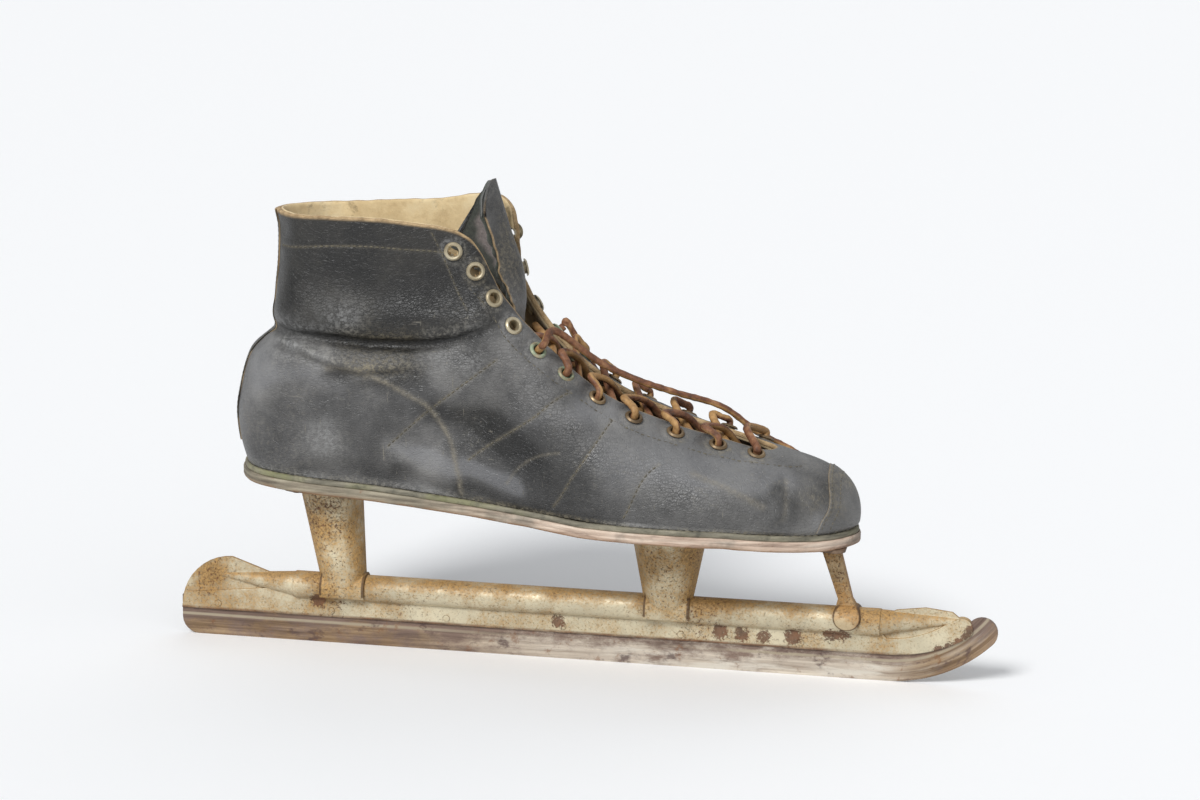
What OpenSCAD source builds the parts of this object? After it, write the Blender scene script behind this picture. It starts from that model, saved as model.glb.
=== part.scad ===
// Antique speed skate: a low laced leather boot riveted to a tubular steel frame with a long runner.
// +X points to the toe, +Y to the wearer's left, +Z up. The origin is on the ice under mid runner.
// Sizes are in millimetres.

/* [Runner] */
// Length of the runner from tail to nose
runner_len = 380; // [376:1:420]
// Thickness of the runner
runner_t = 2.4; // [1.8:0.1:3]
// Height of the runner below the flanges
runner_show = 12.5; // [10:0.5:14]
// Depth of the runner between the flanges
runner_grip = 6; // [4:0.5:7]
// Radius of the curve under the nose
nose_r = 66; // [60:1:74]
// Length of the curved part of the nose
nose_run = 49.5; // [46:0.5:53]
// Radius of the tip of the nose
nose_tip_r = 7; // [5:0.5:8]
// Radius of the lower corner of the tail
tail_corner_r = 8; // [4:0.5:10]

/* [Frame] */
// Outside diameter of the frame tube
tube_d = 12.7; // [11:0.1:14]
// Wall of the frame tube
tube_wall = 1; // [0.8:0.1:1.6]
// Thickness of one flange sheet
sheet_t = 0.9; // [0.7:0.1:1.4]
// Height of the flanges between runner and tube
flange_h = 8; // [7.5:0.5:10]
// Radius of the rounded front end of the flanges
sheath_end_r = 4.9; // [4.5:0.1:5.3]
// Length of the pinched point at each end of the tube
point_len = 38; // [30:1:42]
// Radius of the rounded tail fin
fin_r = 24; // [21:0.5:26]
// Diameter of the pins through flanges and runner
pin_d = 3; // [2:0.2:4]

/* [Cups and brace] */
// Height of the sole underside above the ice at the heel cup
heel_h = 78; // [72:0.5:86]
// Height of the sole underside above the ice at the ball
ball_h = 68; // [63:0.5:73]
// Slope of the heel seat in degrees
heel_pitch = 3.3; // [1:0.1:4.5]
// Rim diameter of the heel cup
heel_cup_d = 29.5; // [26:0.5:32]
// Rim diameter of the sole cup
sole_cup_d = 36; // [32:0.5:40]
// Wall of the cups
cup_wall = 1.5; // [1.2:0.1:2.2]
// Length of a cup saddle on the tube
saddle_len = 21; // [19:0.5:24]
// Thickness of the saddles
saddle_t = 1.3; // [1:0.1:1.8]
// Width of the toe brace at its top, along the foot
brace_w = 9; // [8:0.5:12]
// Thickness of the toe brace across the foot
brace_t = 5; // [4:0.5:7]
// Thickness of the three plates
plate_t = 1.5; // [1.2:0.1:2]
// Shank diameter of the rivets
rivet_d = 3.4; // [2.6:0.2:4]

/* [Sole] */
// Length of the sole
boot_len = 286; // [280:1:292]
// Width of the sole at the heel
heel_w = 61; // [56:1:66]
// Width of the sole at the waist
waist_w = 62; // [56:1:68]
// Width of the sole at the ball
ball_w = 92; // [86:1:98]
// Thickness of the outsole
outsole_t = 4.6; // [4:0.2:6]
// Thickness of the welt
welt_t = 2.4; // [2:0.2:3.2]
// Ledge of the welt outside the upper
welt_ledge = 2.2; // [1.6:0.2:3]
// Thickness of the insole
insole_t = 2.6; // [2:0.2:3.2]

/* [Upper] */
// Height of the collar above the ice
collar_h = 203.5; // [198:0.5:212]
// Width of the collar
collar_w = 57; // [52:1:62]
// Gap between the two eyelet rows' edges
throat_w = 29; // [26:1:32]
// Drop of the slumped front corner of the right collar
slump = 7; // [2:0.5:9]
// Depth of the crease at the sides of the ankle
crease = 4.5; // [1:0.5:6]
// Depth of the tuck above the heel counter
tuck = 8; // [3:0.5:9]
// Thickness of the upper leather
leather_t = 2.2; // [1.8:0.1:2.6]
// Thickness of the lining
lining_t = 1; // [0.8:0.1:1.4]
// Thickness of the toe cap and backstay laid on the upper
overlay_t = 1.2; // [0.8:0.1:1.6]
// Thickness of the heel counter
counter_t = 1.6; // [1.2:0.1:2]
// Thickness of the tongue leather
tongue_t = 1.8; // [1.4:0.1:2.2]
// Thickness of the tongue felt
felt_t = 2; // [1.4:0.1:2.6]

/* [Lacing] */
// Outside diameter of an eyelet
eyelet_d = 8.4; // [7.4:0.2:9]
// Bore of an eyelet
eyelet_bore = 4.8; // [4.4:0.1:5.2]
// Distance from an eyelet to the edge of the throat
eyelet_inset = 10.5; // [9:0.5:12]
// Diameter of the lace
lace_d = 3.6; // [3:0.1:3.8]

/* [Hidden] */
$fn = 48;

// Clearances
fit_gap = 0.05;
seat_gap = 0.2;
ply_gap = 0.1;
hinge_gap = 0.5;

// Runner and frame
tail_x = -runner_len / 2;
nose_x = runner_len / 2 - nose_run;
runner_top = runner_show + runner_grip;
tube_r = tube_d / 2;
tube_z = runner_show + flange_h + tube_r;
tip_lean = asin((nose_run - nose_tip_r) / (nose_r - nose_tip_r));
// Front end of the flanges: their lower edge runs into a round end behind the tip of the nose
nose_tip = [nose_x, nose_r] + (nose_r - nose_tip_r) * [sin(tip_lean), -cos(tip_lean)];
sheath_end = nose_tip + [-9, 1.5];
sheath_out = sheath_end - [nose_x, runner_show];
sheath_r = (sheath_out * sheath_out - sheath_end_r * sheath_end_r) / (2 * (sheath_out[1] - sheath_end_r));
sheath_turn = atan2(sheath_out[0], sheath_r - sheath_out[1]);
sheath_lean = asin((sheath_out[0] - 6) / (nose_r - runner_top));
grip_t = runner_t + 2 * sheet_t;
fin_t = 2 * sheet_t;
fin_x = tail_x + fin_r;
fin_z = runner_show + 1.5;
tube_x0 = tail_x + 55;
tube_x1 = nose_x - 3;
rear_point = [tube_x0 - point_len, 0, tube_z + 2.5];
front_point = [tube_x1 + point_len, 0, tube_z + 3.5];
pin_z = runner_show + runner_grip / 2;
pin_xs = [for (f = [0.03, 0.2, 0.37, 0.54, 0.71, 0.88]) lerp(tail_x + 8, nose_x, f)];

// Boot placed on the frame, and the stands under it
heel_x = -159;
toe_x = heel_x + boot_len;
heel_cup_x = heel_x + 41;
heel_cup_foot_x = heel_cup_x + 6.5;
sole_cup_x = heel_x + 199.5;
brace_x = heel_x + 272;
brace_foot_x = brace_x + 9.5;
breast_x = heel_x + 69;
ball_x0 = heel_x + 164;
ball_x1 = heel_x + 229;
toe_spring = -4;
heel_slope = -tan(heel_pitch);
breast_z = heel_h + heel_slope * (breast_x - heel_cup_x);
waist_pitch = atan((breast_z - ball_h) / (ball_x0 - breast_x));
toe_pitch = -atan(toe_spring / (toe_x - ball_x1));
SOLE_LINE = [
    [heel_x - 20, heel_h + heel_slope * (heel_x - 20 - heel_cup_x)],
    [breast_x, breast_z],
    [ball_x0, ball_h],
    [ball_x1, ball_h],
    [toe_x + 20, ball_h + toe_spring * (toe_x + 20 - ball_x1) / (toe_x - ball_x1)]];
sole_t = outsole_t + welt_t;
rivet_spread_heel = [11, 19];
rivet_spread_sole = [16, 26];
rivet_spread_toe = [0, 15];

// Plan of the sole: share of its length from the heel, half width
PLAN = [
    [0, 0],
    [0.035, 0.36 * heel_w],
    [0.12, 0.5 * heel_w],
    [0.26, 0.5 * waist_w],
    [0.4, 0.52 * waist_w],
    [0.52, 0.25 * (waist_w + ball_w) - 1],
    [0.62, 0.475 * ball_w],
    [0.725, 0.5 * ball_w],
    [0.83, 0.468 * ball_w],
    [0.915, 0.37 * ball_w],
    [0.97, 0.225 * ball_w],
    [1, 0]];
HALF = len(PLAN) - 1;
LOOP = 2 * HALF;

// Top edge of the upper, from the heel over the collar corner down the throat
collar_back = heel_x + 16;
collar_corner = heel_x + 110;
throat_end = heel_x + 247;
throat_end_z = ball_h + sole_t + 30;
TOP = [
    [collar_back, 0, collar_h],
    [collar_back + 12, 0.37 * collar_w, collar_h],
    [collar_back + 34, 0.49 * collar_w, collar_h + 0.5],
    [collar_back + 64, 0.49 * collar_w, collar_h + 1],
    [collar_corner, 0.5 * throat_w + 8, collar_h - 2],
    [heel_x + 126, 0.5 * throat_w + 3, lerp(throat_end_z, collar_h, 0.67)],
    [heel_x + 147, 0.5 * throat_w, lerp(throat_end_z, collar_h, 0.425)],
    [heel_x + 171, 0.5 * throat_w - 1, lerp(throat_end_z, collar_h, 0.235)],
    [heel_x + 199, 0.45 * throat_w - 1, lerp(throat_end_z, collar_h, 0.12)],
    [heel_x + 225, 0.4 * throat_w - 1, lerp(throat_end_z, collar_h, 0.05)],
    [heel_x + 242, 0.26 * throat_w, throat_end_z + 0.5],
    [throat_end, 0, throat_end_z]];
// Share of the collar slump at each station
SLUMP = [0, 0, 0, 0.25, 1, 0.25, 0, 0, 0, 0, 0, 0];

// Belly of the upper at each station: bulge, lean and rise of the lower bow, lean, drape and
// rise of the upper bow
BELLY = [
    [0, -20, 0.36, 9, 0, 0.6],
    [5, -13, 0.35, 6, 2, 0.62],
    [8, 0, 0.3, 0, -3, 0.67],
    [8, 0, 0.26, -2, -3, 0.69],
    [8, 0, 0.24, -2, 3, 0.7],
    [8, -1, 0.24, 6, 13, 0.77],
    [7, -2, 0.25, 10, 17, 0.79],
    [6, -1, 0.27, 13, 17, 0.8],
    [5, -1, 0.34, 15, 16, 0.81],
    [3.5, 0, 0.45, 17, 12.5, 0.81],
    [1.5, 2, 0.55, 19, 6, 0.88],
    [0, 3.5, 0.6, 25, 0, 0.92]];

// Ankle crease
crease_z = collar_h - 54.5;
ankle_x = heel_x + 62;

// Grid of the upper
PER_STATION = 3;
ROWS = 14;

// Eyelets
eyelet_count = 11;
laced_from = 5;
eyelet_lift = 0.75;
// The inside washer is this much smaller than the rim, all round
washer_step = 0.9;
wall = leather_t + ply_gap + lining_t;
lace_r = lace_d / 2;
LACE_SIDES = 8;

// Tongue: middle line as [x, z] of the outer face
hinge_x = heel_x + 129;
hinge_z = lerp(throat_end_z, collar_h, 0.528);
roll_r = 1.6;
TONGUE_HIGH = [
    [hinge_x + 0.2, hinge_z + 0.6],
    [hinge_x + 0.8, hinge_z + 10],
    [hinge_x - 0.8, hinge_z + 24],
    [hinge_x - 6, hinge_z + 40],
    [hinge_x - 13, collar_h + 17]];
// Half width of the tongue at each point, and how far its near and far sides sweep back
HIGH_HALF = [for (w = [-5.5, -3.7, -1.7, 0.2, 1]) throat_w / 2 + w];
LOW_HALF = [for (w = [0.5, 0.5, 0.5, 0.5, 0.5, 0.5, -1, -3.5, -5.2, -5.5]) throat_w / 2 + w];
near_sweep = [1.5, 9];
far_sweep = [1.5, 32];
felt_gap = 0.3;

function lerp(a, b, f) = a + (b - a) * f;
function unit(v) = v / norm(v);
function clamp(x, lo, hi) = min(max(x, lo), hi);
function ease(x) = let (f = clamp(x, 0, 1)) f * f * (3 - 2 * f);
function sole_z(x) = lookup(x, SOLE_LINE);
function arc(c, r, a0, a1, n) =
    [for (i = [0:n]) let (a = lerp(a0, a1, i / n)) c + r * [cos(a), sin(a)]];
function curve4(a, b, c, d, f) =
    0.5 * (2 * b + (c - a) * f + (2 * a - 5 * b + 4 * c - d) * f * f
    + (3 * b - a - 3 * c + d) * f * f * f);
function on_loop(list, u) =
    let (n = len(list), w = u - n * floor(u / n), i = floor(w), f = w - i)
    curve4(list[(i + n - 1) % n], list[i % n], list[(i + 1) % n], list[(i + 2) % n], f);
function on_line(list, u) =
    let (n = len(list), i = clamp(floor(u), 0, n - 2), f = u - i)
    let (a = i > 0 ? list[i - 1] : 2 * list[0] - list[1])
    let (d = i < n - 2 ? list[i + 2] : 2 * list[n - 1] - list[n - 2])
    curve4(a, list[i], list[i + 1], d, f);
function half_of(k) = k <= HALF ? k : LOOP - k;
function side_of(k) = k <= HALF ? -1 : 1;

// Sole outline as a loop: 0 at the heel, then the right side, the toe and the left side
PLAN_LOOP = [for (k = [0:LOOP - 1]) let (p = PLAN[half_of(k)])
    [heel_x + boot_len * p[0], side_of(k) * p[1]]];
function plan_at(u, inset) =
    let (d = on_loop(PLAN_LOOP, u + 0.02) - on_loop(PLAN_LOOP, u - 0.02))
    on_loop(PLAN_LOOP, u) + inset * unit([-d[1], d[0]]);

// Ribs of the upper from the welt to the top edge
RIBS = [for (k = [0:LOOP - 1]) let (h = half_of(k), s = side_of(k), b = BELLY[h])
    let (foot = plan_at(k, welt_ledge), top = TOP[h])
    let (z0 = sole_z(foot[0]) + sole_t + seat_gap)
    let (z3 = top[2] + SLUMP[h] * slump * (s < 0 ? -0.7 : 1))
    let (x3 = top[0] + SLUMP[h] * slump * (s < 0 ? 0 : 1.2))
    [[foot[0], foot[1], z0],
    [foot[0] + b[1], foot[1] + s * b[0], lerp(z0, z3, b[2])],
    [x3 + b[3], s * (top[1] + b[4]), lerp(z0, z3, b[5])],
    [x3, s * top[1], z3]]];
function bow(r, t) =
    let (q = 1 - t) q * q * q * r[0] + 3 * q * q * t * r[1] + 3 * q * t * t * r[2] + t * t * t * r[3];
function bell(x) = exp(-x * x);
function upper(u, t) =
    let (p = bow(on_loop(RIBS, u), t), w = u - LOOP * floor(u / LOOP))
    let (h = w <= HALF ? w : LOOP - w, dz = p[2] - crease_z)
    let (side = ease(h / 1.6) * (1 - ease((h - 3.6) / 1.8)), rear = 1 - ease(h / 2.2))
    let (fold = crease * side * (bell(dz / 6) - 0.6 * bell((dz - 13) / 8)))
    let (step = tuck * rear * (dz < 0 ? bell(dz / 6) : bell(dz / 19)))
    p - (fold + step) * unit([p[0] - ankle_x, p[1], 0]);
function upper_out(u, t) =
    let (a = upper(u + 0.03, t) - upper(u - 0.03, t), b = upper(u, t + 0.01) - upper(u, t - 0.01))
    unit(cross(a, b));
function layer(u, t, lift) = upper(u, t) + lift * upper_out(u, t);

// Lower tongue: sewn under the vamp at the toe end, then along under the lacing
function under_vamp(t) = let (p = layer(HALF, t, -wall - 0.4)) [p[0], p[2]];
TONGUE_LOW = [
    under_vamp(0.8),
    under_vamp(0.9),
    [heel_x + 243, throat_end_z - 6.2],
    [heel_x + 225, throat_end_z - 5.2],
    [heel_x + 199, throat_end_z + 1.5],
    [heel_x + 171, throat_end_z + 13],
    [heel_x + 152, throat_end_z + 26],
    [heel_x + 139, throat_end_z + 34.5],
    [heel_x + 130.5, throat_end_z + 43],
    [hinge_x + 0.6, hinge_z - roll_r - hinge_gap]];

// Eyelet places on the right row; the left row mirrors the station
EYELET_U = [for (k = [0:eyelet_count - 1]) 3.77 + 0.383 * k + 0.017 * k * k];
corner_inset = eyelet_inset - 2;
function eyelet_u(side, k) = side < 0 ? EYELET_U[k - 1] : LOOP - EYELET_U[k - 1];
function eyelet_t(side, k) =
    let (u = eyelet_u(side, k), pace = norm(upper(u, 1) - upper(u, 0.98)) / 0.02)
    1 - (k == 1 ? corner_inset : eyelet_inset) / pace;
function eyelet_at(side, k) = upper(eyelet_u(side, k), eyelet_t(side, k));
function eyelet_out(side, k) = upper_out(eyelet_u(side, k), eyelet_t(side, k));
function edge_at(side, k) = upper(eyelet_u(side, k), 1);
function to_edge(side, k) = unit(edge_at(side, k) - eyelet_at(side, k));

// Lace route through one eyelet, from under the edge to the outside
under = wall + lace_r + 2;
over = lace_r + 2;
function come_up(side, k) =
    let (p = eyelet_at(side, k), n = eyelet_out(side, k), e = to_edge(side, k)) [
    p - n * under + e * (eyelet_inset - 1),
    p - n * (under + 0.2) + e * 4.4,
    p - n * (wall + 1.2) + e * 0.3,
    p + n * 1.2,
    p + n * over + e * 1.2];
function go_over(side, k) =
    let (p = eyelet_at(side, k), n = eyelet_out(side, k), e = to_edge(side, k)) [
    p + n * (over + 0.2) + e * 5,
    p + n * (over - 0.3) + e * (eyelet_inset + 0.5)];
function mid_gap(side, k) =
    [lerp(edge_at(side, k), edge_at(-side, k + 1), 0.5)
    + [0, 0, (side < 0 ? 1 : -1) * (lace_r + 0.5) - 0.4]];
function strand(side) = [for (k = [laced_from + 1:eyelet_count])
    let (s = (k - laced_from) % 2 == 1 ? -side : side)
    each concat(come_up(s, k), k < eyelet_count ? concat(go_over(s, k), mid_gap(s, k)) : [])];
function start_down(side) =
    let (p = eyelet_at(side, laced_from), n = eyelet_out(side, laced_from)) [
    p + n * over, p + n * 1.2, p - n * (wall + 1.2) + to_edge(side, laced_from) * 0.3,
    p - n * (under + 0.2) + to_edge(side, laced_from) * 4.4,
    p - n * under + to_edge(side, laced_from) * (eyelet_inset + 1),
    lerp(edge_at(side, laced_from), edge_at(-side, laced_from + 1), 0.5)
    + [0, 0, (side < 0 ? 1 : -1) * (lace_r + 0.4) - 3.2]];
function flip(list) = [for (i = [len(list) - 1:-1:0]) list[i]];
bar_mid = lerp(edge_at(-1, eyelet_count), edge_at(1, eyelet_count), 0.5) + [2, 0, lace_r + 3.4];
LACE_ROUTE = concat(start_down(-1), strand(-1), [bar_mid], flip(strand(1)), flip(start_down(1)));

// Free ends: over the lacing and down the left side of the boot
function over_gap(u, f, h) = lerp(upper(u, 1), upper(LOOP - u, 1), f) + [0, 0, h];
END_RIGHT = [
    LACE_ROUTE[0] + 0.6 * eyelet_out(-1, laced_from),
    LACE_ROUTE[0] + 2.6 * eyelet_out(-1, laced_from),
    over_gap(6.05, 0.02, 9.6),
    over_gap(6.8, 0.35, 9.4),
    over_gap(7.4, 0.6, 9.2),
    over_gap(8, 0.85, 9),
    layer(LOOP - 8.5, 0.9, 8.4),
    layer(LOOP - 8.85, 0.74, 3),
    layer(LOOP - 9.1, 0.55, 2.3),
    layer(LOOP - 9.3, 0.35, 2.3),
    layer(LOOP - 9.4, 0.14, 2.3)];
END_LEFT = [
    LACE_ROUTE[len(LACE_ROUTE) - 1] + 0.6 * eyelet_out(1, laced_from),
    LACE_ROUTE[len(LACE_ROUTE) - 1] + 2.6 * eyelet_out(1, laced_from),
    layer(LOOP - 5.85, 0.74, 3.8),
    layer(LOOP - 6.1, 0.62, 2.3),
    layer(LOOP - 6.3, 0.46, 2.2),
    layer(LOOP - 6.45, 0.3, 2.2),
    layer(LOOP - 6.5, 0.12, 2.2)];

module slab(t) rotate([90, 0, 0]) linear_extrude(height = t, center = true) children();
module along_x(x0, x1, z, r) translate([x0, 0, z]) rotate([0, 90, 0]) cylinder(r = r, h = x1 - x0);
module cone_to(a, b, r1, r2) {
    d = b - a;
    translate(a) rotate([0, acos(d[2] / norm(d)), atan2(d[1], d[0])])
        cylinder(r1 = r1, r2 = r2, h = norm(d));
}
module stand_on_sole(x, pitch) translate([x, 0, sole_z(x)]) rotate([0, pitch, 0]) children();
module at_corners(spread) {
    for (sx = spread[0] > 0 ? [-1, 1] : [0], sy = [-1, 1])
        translate([sx * spread[0], sy * spread[1], 0]) children();
}
module round_plate(w, l, r, t) {
    linear_extrude(height = t) {
        square([w - 2 * r, l], center = true);
        square([w, l - 2 * r], center = true);
        for (sx = [-1, 1], sy = [-1, 1])
            translate([sx * (w / 2 - r), sy * (l / 2 - r)]) circle(r = r);
    }
}

// Closed shell between two grids of points
module shell(outer, inner) {
    n = len(outer);
    m = len(outer[0]);
    b = n * m;
    faces = concat(
        [for (i = [0:n - 2], j = [0:m - 2]) let (p = i * m + j)
            each [[p, p + 1, p + m + 1], [p, p + m + 1, p + m],
            [b + p, b + p + m + 1, b + p + 1], [b + p, b + p + m, b + p + m + 1]]],
        [for (i = [0:n - 2]) let (p = i * m, q = p + m - 1)
            each [[p, p + m, b + p + m], [p, b + p + m, b + p],
            [q + m, q, b + q], [q + m, b + q, b + q + m]]],
        [for (j = [0:m - 2]) let (p = j, q = (n - 1) * m + j)
            each [[p + 1, p, b + p], [p + 1, b + p, b + p + 1],
            [q, q + 1, b + q + 1], [q, b + q + 1, b + q]]]);
    polyhedron(points = concat([for (r = outer) each r], [for (r = inner) each r]), faces = faces);
}
// Ply of the upper between stations u0 and u1, rows j0 to j1, at two lifts
module ply(u0, u1, j0, j1, lift_out, lift_in) {
    n = round((u1 - u0) * PER_STATION);
    us = [for (i = [0:n]) u0 + i / PER_STATION];
    ts = [for (j = [j0:j1]) j / ROWS];
    shell([for (u = us) [for (t = ts) layer(u, t, lift_out)]],
        [for (u = us) [for (t = ts) layer(u, t, lift_in)]]);
}
module on_eyelet(side, k) {
    n = eyelet_out(side, k);
    translate(eyelet_at(side, k)) rotate([0, acos(n[2]), atan2(n[1], n[0])]) children();
}
module eyelet_holes(side) {
    for (k = [1:eyelet_count]) on_eyelet(side, k) {
        cylinder(d = eyelet_bore + 1.2, h = 16, center = true, $fn = 24);
        // Seat for the washer where the leather bends towards it
        translate([0, 0, -wall - eyelet_lift + 0.05 - 3])
            cylinder(r = eyelet_d / 2 - washer_step + 0.15, h = 3, $fn = 24);
    }
}
// Round cord through a route, with a steady frame from ring to ring
module cord(route, r, steps) {
    n = (len(route) - 1) * steps;
    pts = [for (i = [0:n]) on_line(route, i / steps)];
    dirs = [for (i = [0:n]) unit(pts[min(i + 1, n)] - pts[max(i - 1, 0)])];
    first = unit(cross(dirs[0], abs(dirs[0][0]) < 0.8 ? [1, 0, 0] : [0, 1, 0]));
    sides = [for (i = 0, s = first; i <= n; i = i + 1,
        s = i <= n ? unit(s - (s * dirs[i]) * dirs[i]) : s) s];
    rings = [for (i = [0:n]) [for (k = [0:LACE_SIDES - 1]) let (a = 360 * k / LACE_SIDES)
        pts[i] + r * (cos(a) * sides[i] + sin(a) * cross(dirs[i], sides[i]))]];
    m = LACE_SIDES;
    faces = concat(
        [for (i = [0:n - 1], k = [0:m - 1]) let (p = i * m + k, q = i * m + (k + 1) % m)
            each [[p, p + m, q + m], [p, q + m, q]]],
        [[for (k = [0:m - 1]) k], [for (k = [m - 1:-1:0]) n * m + k]]);
    polyhedron(points = [for (ring = rings) each ring], faces = faces);
}

module runner_outline() {
    hub = [nose_x, nose_r];
    polygon(concat(
        arc([tail_x + tail_corner_r, tail_corner_r], tail_corner_r, 180, 270, 6),
        arc(hub, nose_r, 270, 270 + tip_lean, 16),
        arc(nose_tip, nose_tip_r, tip_lean - 80, 140, 12),
        arc(hub, nose_r - runner_top, 270 + sheath_lean, 270, 10),
        [[tail_x, runner_top]]));
}
module runner() {
    color([0.36, 0.3, 0.27]) difference() {
        slab(runner_t) runner_outline();
        for (x = pin_xs) translate([x, 0, pin_z]) rotate([90, 0, 0])
            cylinder(d = pin_d + 2 * fit_gap, h = 20, center = true);
    }
}

module flange_outline() {
    hub = [nose_x, nose_r];
    polygon(concat(
        [[tail_x, runner_show]],
        arc([nose_x, runner_show + sheath_r], sheath_r, 270, 270 + sheath_turn, 12),
        arc(sheath_end, sheath_end_r, sheath_turn - 90, 120, 14),
        arc(hub, nose_r - runner_top - 1.5, 270 + sheath_lean, 270, 12),
        [[nose_x - 5.4, tube_z - 0.8], [tube_x0 + 1.6, tube_z - 0.8], [tail_x + 1, runner_top + 1.5]]));
}
module fin_outline() {
    hub = [nose_x, nose_r];
    polygon(concat(
        arc([fin_x, fin_z], fin_r, 180, 90, 10),
        [[fin_x + 17, tube_z + tube_r - 1], [tube_x0 + 4, tube_z], [tube_x0 + 4, runner_show + 2],
        [tail_x, runner_show + 2]]));
    polygon(concat(
        [[tube_x1 - 4, runner_show + 2]],
        arc(hub, nose_r - runner_show - 1, 270, 270 + sheath_lean, 10),
        [sheath_end + [2, 2], [nose_x + 29, tube_z + tube_r + 0.5], [nose_x + 17, tube_z + tube_r + 1.8],
        [nose_x + 4, tube_z + tube_r], [tube_x1 - 4, tube_z]]));
}
module frame_tube() {
    color([0.62, 0.56, 0.47]) difference() {
        union() {
            along_x(tube_x0, tube_x1, tube_z, tube_r);
            cone_to([tube_x0 + 3, 0, tube_z], rear_point, tube_r - 0.15, 0.9);
            cone_to([tube_x1 - 3, 0, tube_z], front_point, tube_r - 0.15, 0.9);
            slab(grip_t) flange_outline();
            slab(fin_t) fin_outline();
        }
        along_x(tube_x0 + 2, tube_x1 - 2, tube_z, tube_r - tube_wall);
        slab(runner_t) {
            runner_outline();
            polygon([[tail_x - 5, runner_show - 5], [tail_x + 5, runner_show - 5],
                [tail_x + 5, runner_top], [tail_x - 5, runner_top]]);
            polygon([[tube_x0 + 7, runner_show], [tube_x1 - 7, runner_show],
                [tube_x1 - 7, tube_z], [tube_x0 + 7, tube_z]]);
        }
        for (x = pin_xs) translate([x, 0, pin_z]) rotate([90, 0, 0])
            cylinder(d = pin_d + 2 * fit_gap, h = 20, center = true);
    }
}
module runner_pins() {
    color([0.42, 0.33, 0.25]) for (x = pin_xs) translate([x, 0, pin_z]) rotate([90, 0, 0])
        cylinder(d = pin_d, h = grip_t + 0.6, center = true);
}

// Cup: round rim under a plate, flattened foot on the tube
module cup_form(x, pitch, foot_x, rim_r, foot_l, foot_w, z_foot) {
    hull() {
        stand_on_sole(x, pitch) translate([0, 0, -plate_t - 0.02 - fit_gap])
            cylinder(r = rim_r, h = 0.02, $fn = 32);
        translate([foot_x, 0, z_foot]) scale([foot_l / foot_w, 1, 1])
            cylinder(r = foot_w, h = 0.02, $fn = 32);
    }
}
module cup(x, pitch, foot_x, rim_r) {
    difference() {
        union() {
            cup_form(x, pitch, foot_x, rim_r, saddle_len / 2, tube_r + saddle_t, tube_z);
            along_x(foot_x - saddle_len / 2, foot_x + saddle_len / 2, tube_z, tube_r + saddle_t);
        }
        along_x(foot_x - 30, foot_x + 30, tube_z, tube_r + fit_gap);
        translate([foot_x - 30, -30, 0]) cube([60, 60, tube_z - 4]);
        difference() {
            translate([0, 0, 0.2]) cup_form(x, pitch, foot_x, rim_r - cup_wall,
                saddle_len / 2 - cup_wall, tube_r + saddle_t - cup_wall, tube_z);
            translate([foot_x - 30, -30, 0]) cube([60, 60, tube_z + tube_r + cup_wall]);
        }
    }
}
module heel_cup() color([0.6, 0.54, 0.45])
    cup(heel_cup_x, heel_pitch, heel_cup_foot_x, heel_cup_d / 2);
module sole_cup() color([0.6, 0.54, 0.45]) cup(sole_cup_x, 0, sole_cup_x, sole_cup_d / 2);

module toe_brace() {
    top_z = sole_z(brace_x) - plate_t - fit_gap;
    neck_z = tube_z + tube_r + 4;
    color([0.58, 0.51, 0.42]) difference() {
        union() {
            slab(brace_t) polygon([
                [brace_x - brace_w / 2, sole_z(brace_x - brace_w / 2) - plate_t - 2 * fit_gap],
                [brace_foot_x - 4.5, neck_z], [brace_foot_x - 6, tube_z + 4],
                [brace_foot_x + 6, tube_z + 4], [brace_foot_x + 2, neck_z],
                [brace_x + brace_w / 2, sole_z(brace_x + brace_w / 2) - plate_t - 2 * fit_gap]]);
            intersection() {
                along_x(brace_foot_x - 10, brace_foot_x + 10, tube_z, tube_r + saddle_t + 0.4);
                translate([brace_foot_x, 0, tube_z + 3]) rotate([90, 0, 0])
                    cylinder(r = 6, h = 40, center = true);
            }
        }
        along_x(brace_foot_x - 20, brace_foot_x + 20, tube_z, tube_r + fit_gap);
    }
}

module heel_plate() color([0.5, 0.36, 0.24]) stand_on_sole(heel_cup_x, heel_pitch)
    translate([0, 0, -plate_t]) difference() {
        round_plate(36, 50, 7, plate_t);
        at_corners(rivet_spread_heel) cylinder(d = rivet_d + 2 * fit_gap, h = 10, center = true);
    }
module sole_plate() color([0.5, 0.36, 0.24]) stand_on_sole(sole_cup_x, 0)
    translate([0, 0, -plate_t]) difference() {
        round_plate(46, 66, 8, plate_t);
        at_corners(rivet_spread_sole) cylinder(d = rivet_d + 2 * fit_gap, h = 10, center = true);
    }
module toe_plate() color([0.5, 0.36, 0.24]) stand_on_sole(brace_x, toe_pitch)
    translate([0, 0, -plate_t]) difference() {
        round_plate(18, 44, 6, plate_t);
        at_corners(rivet_spread_toe) cylinder(d = rivet_d + 2 * fit_gap, h = 10, center = true);
    }
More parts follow.
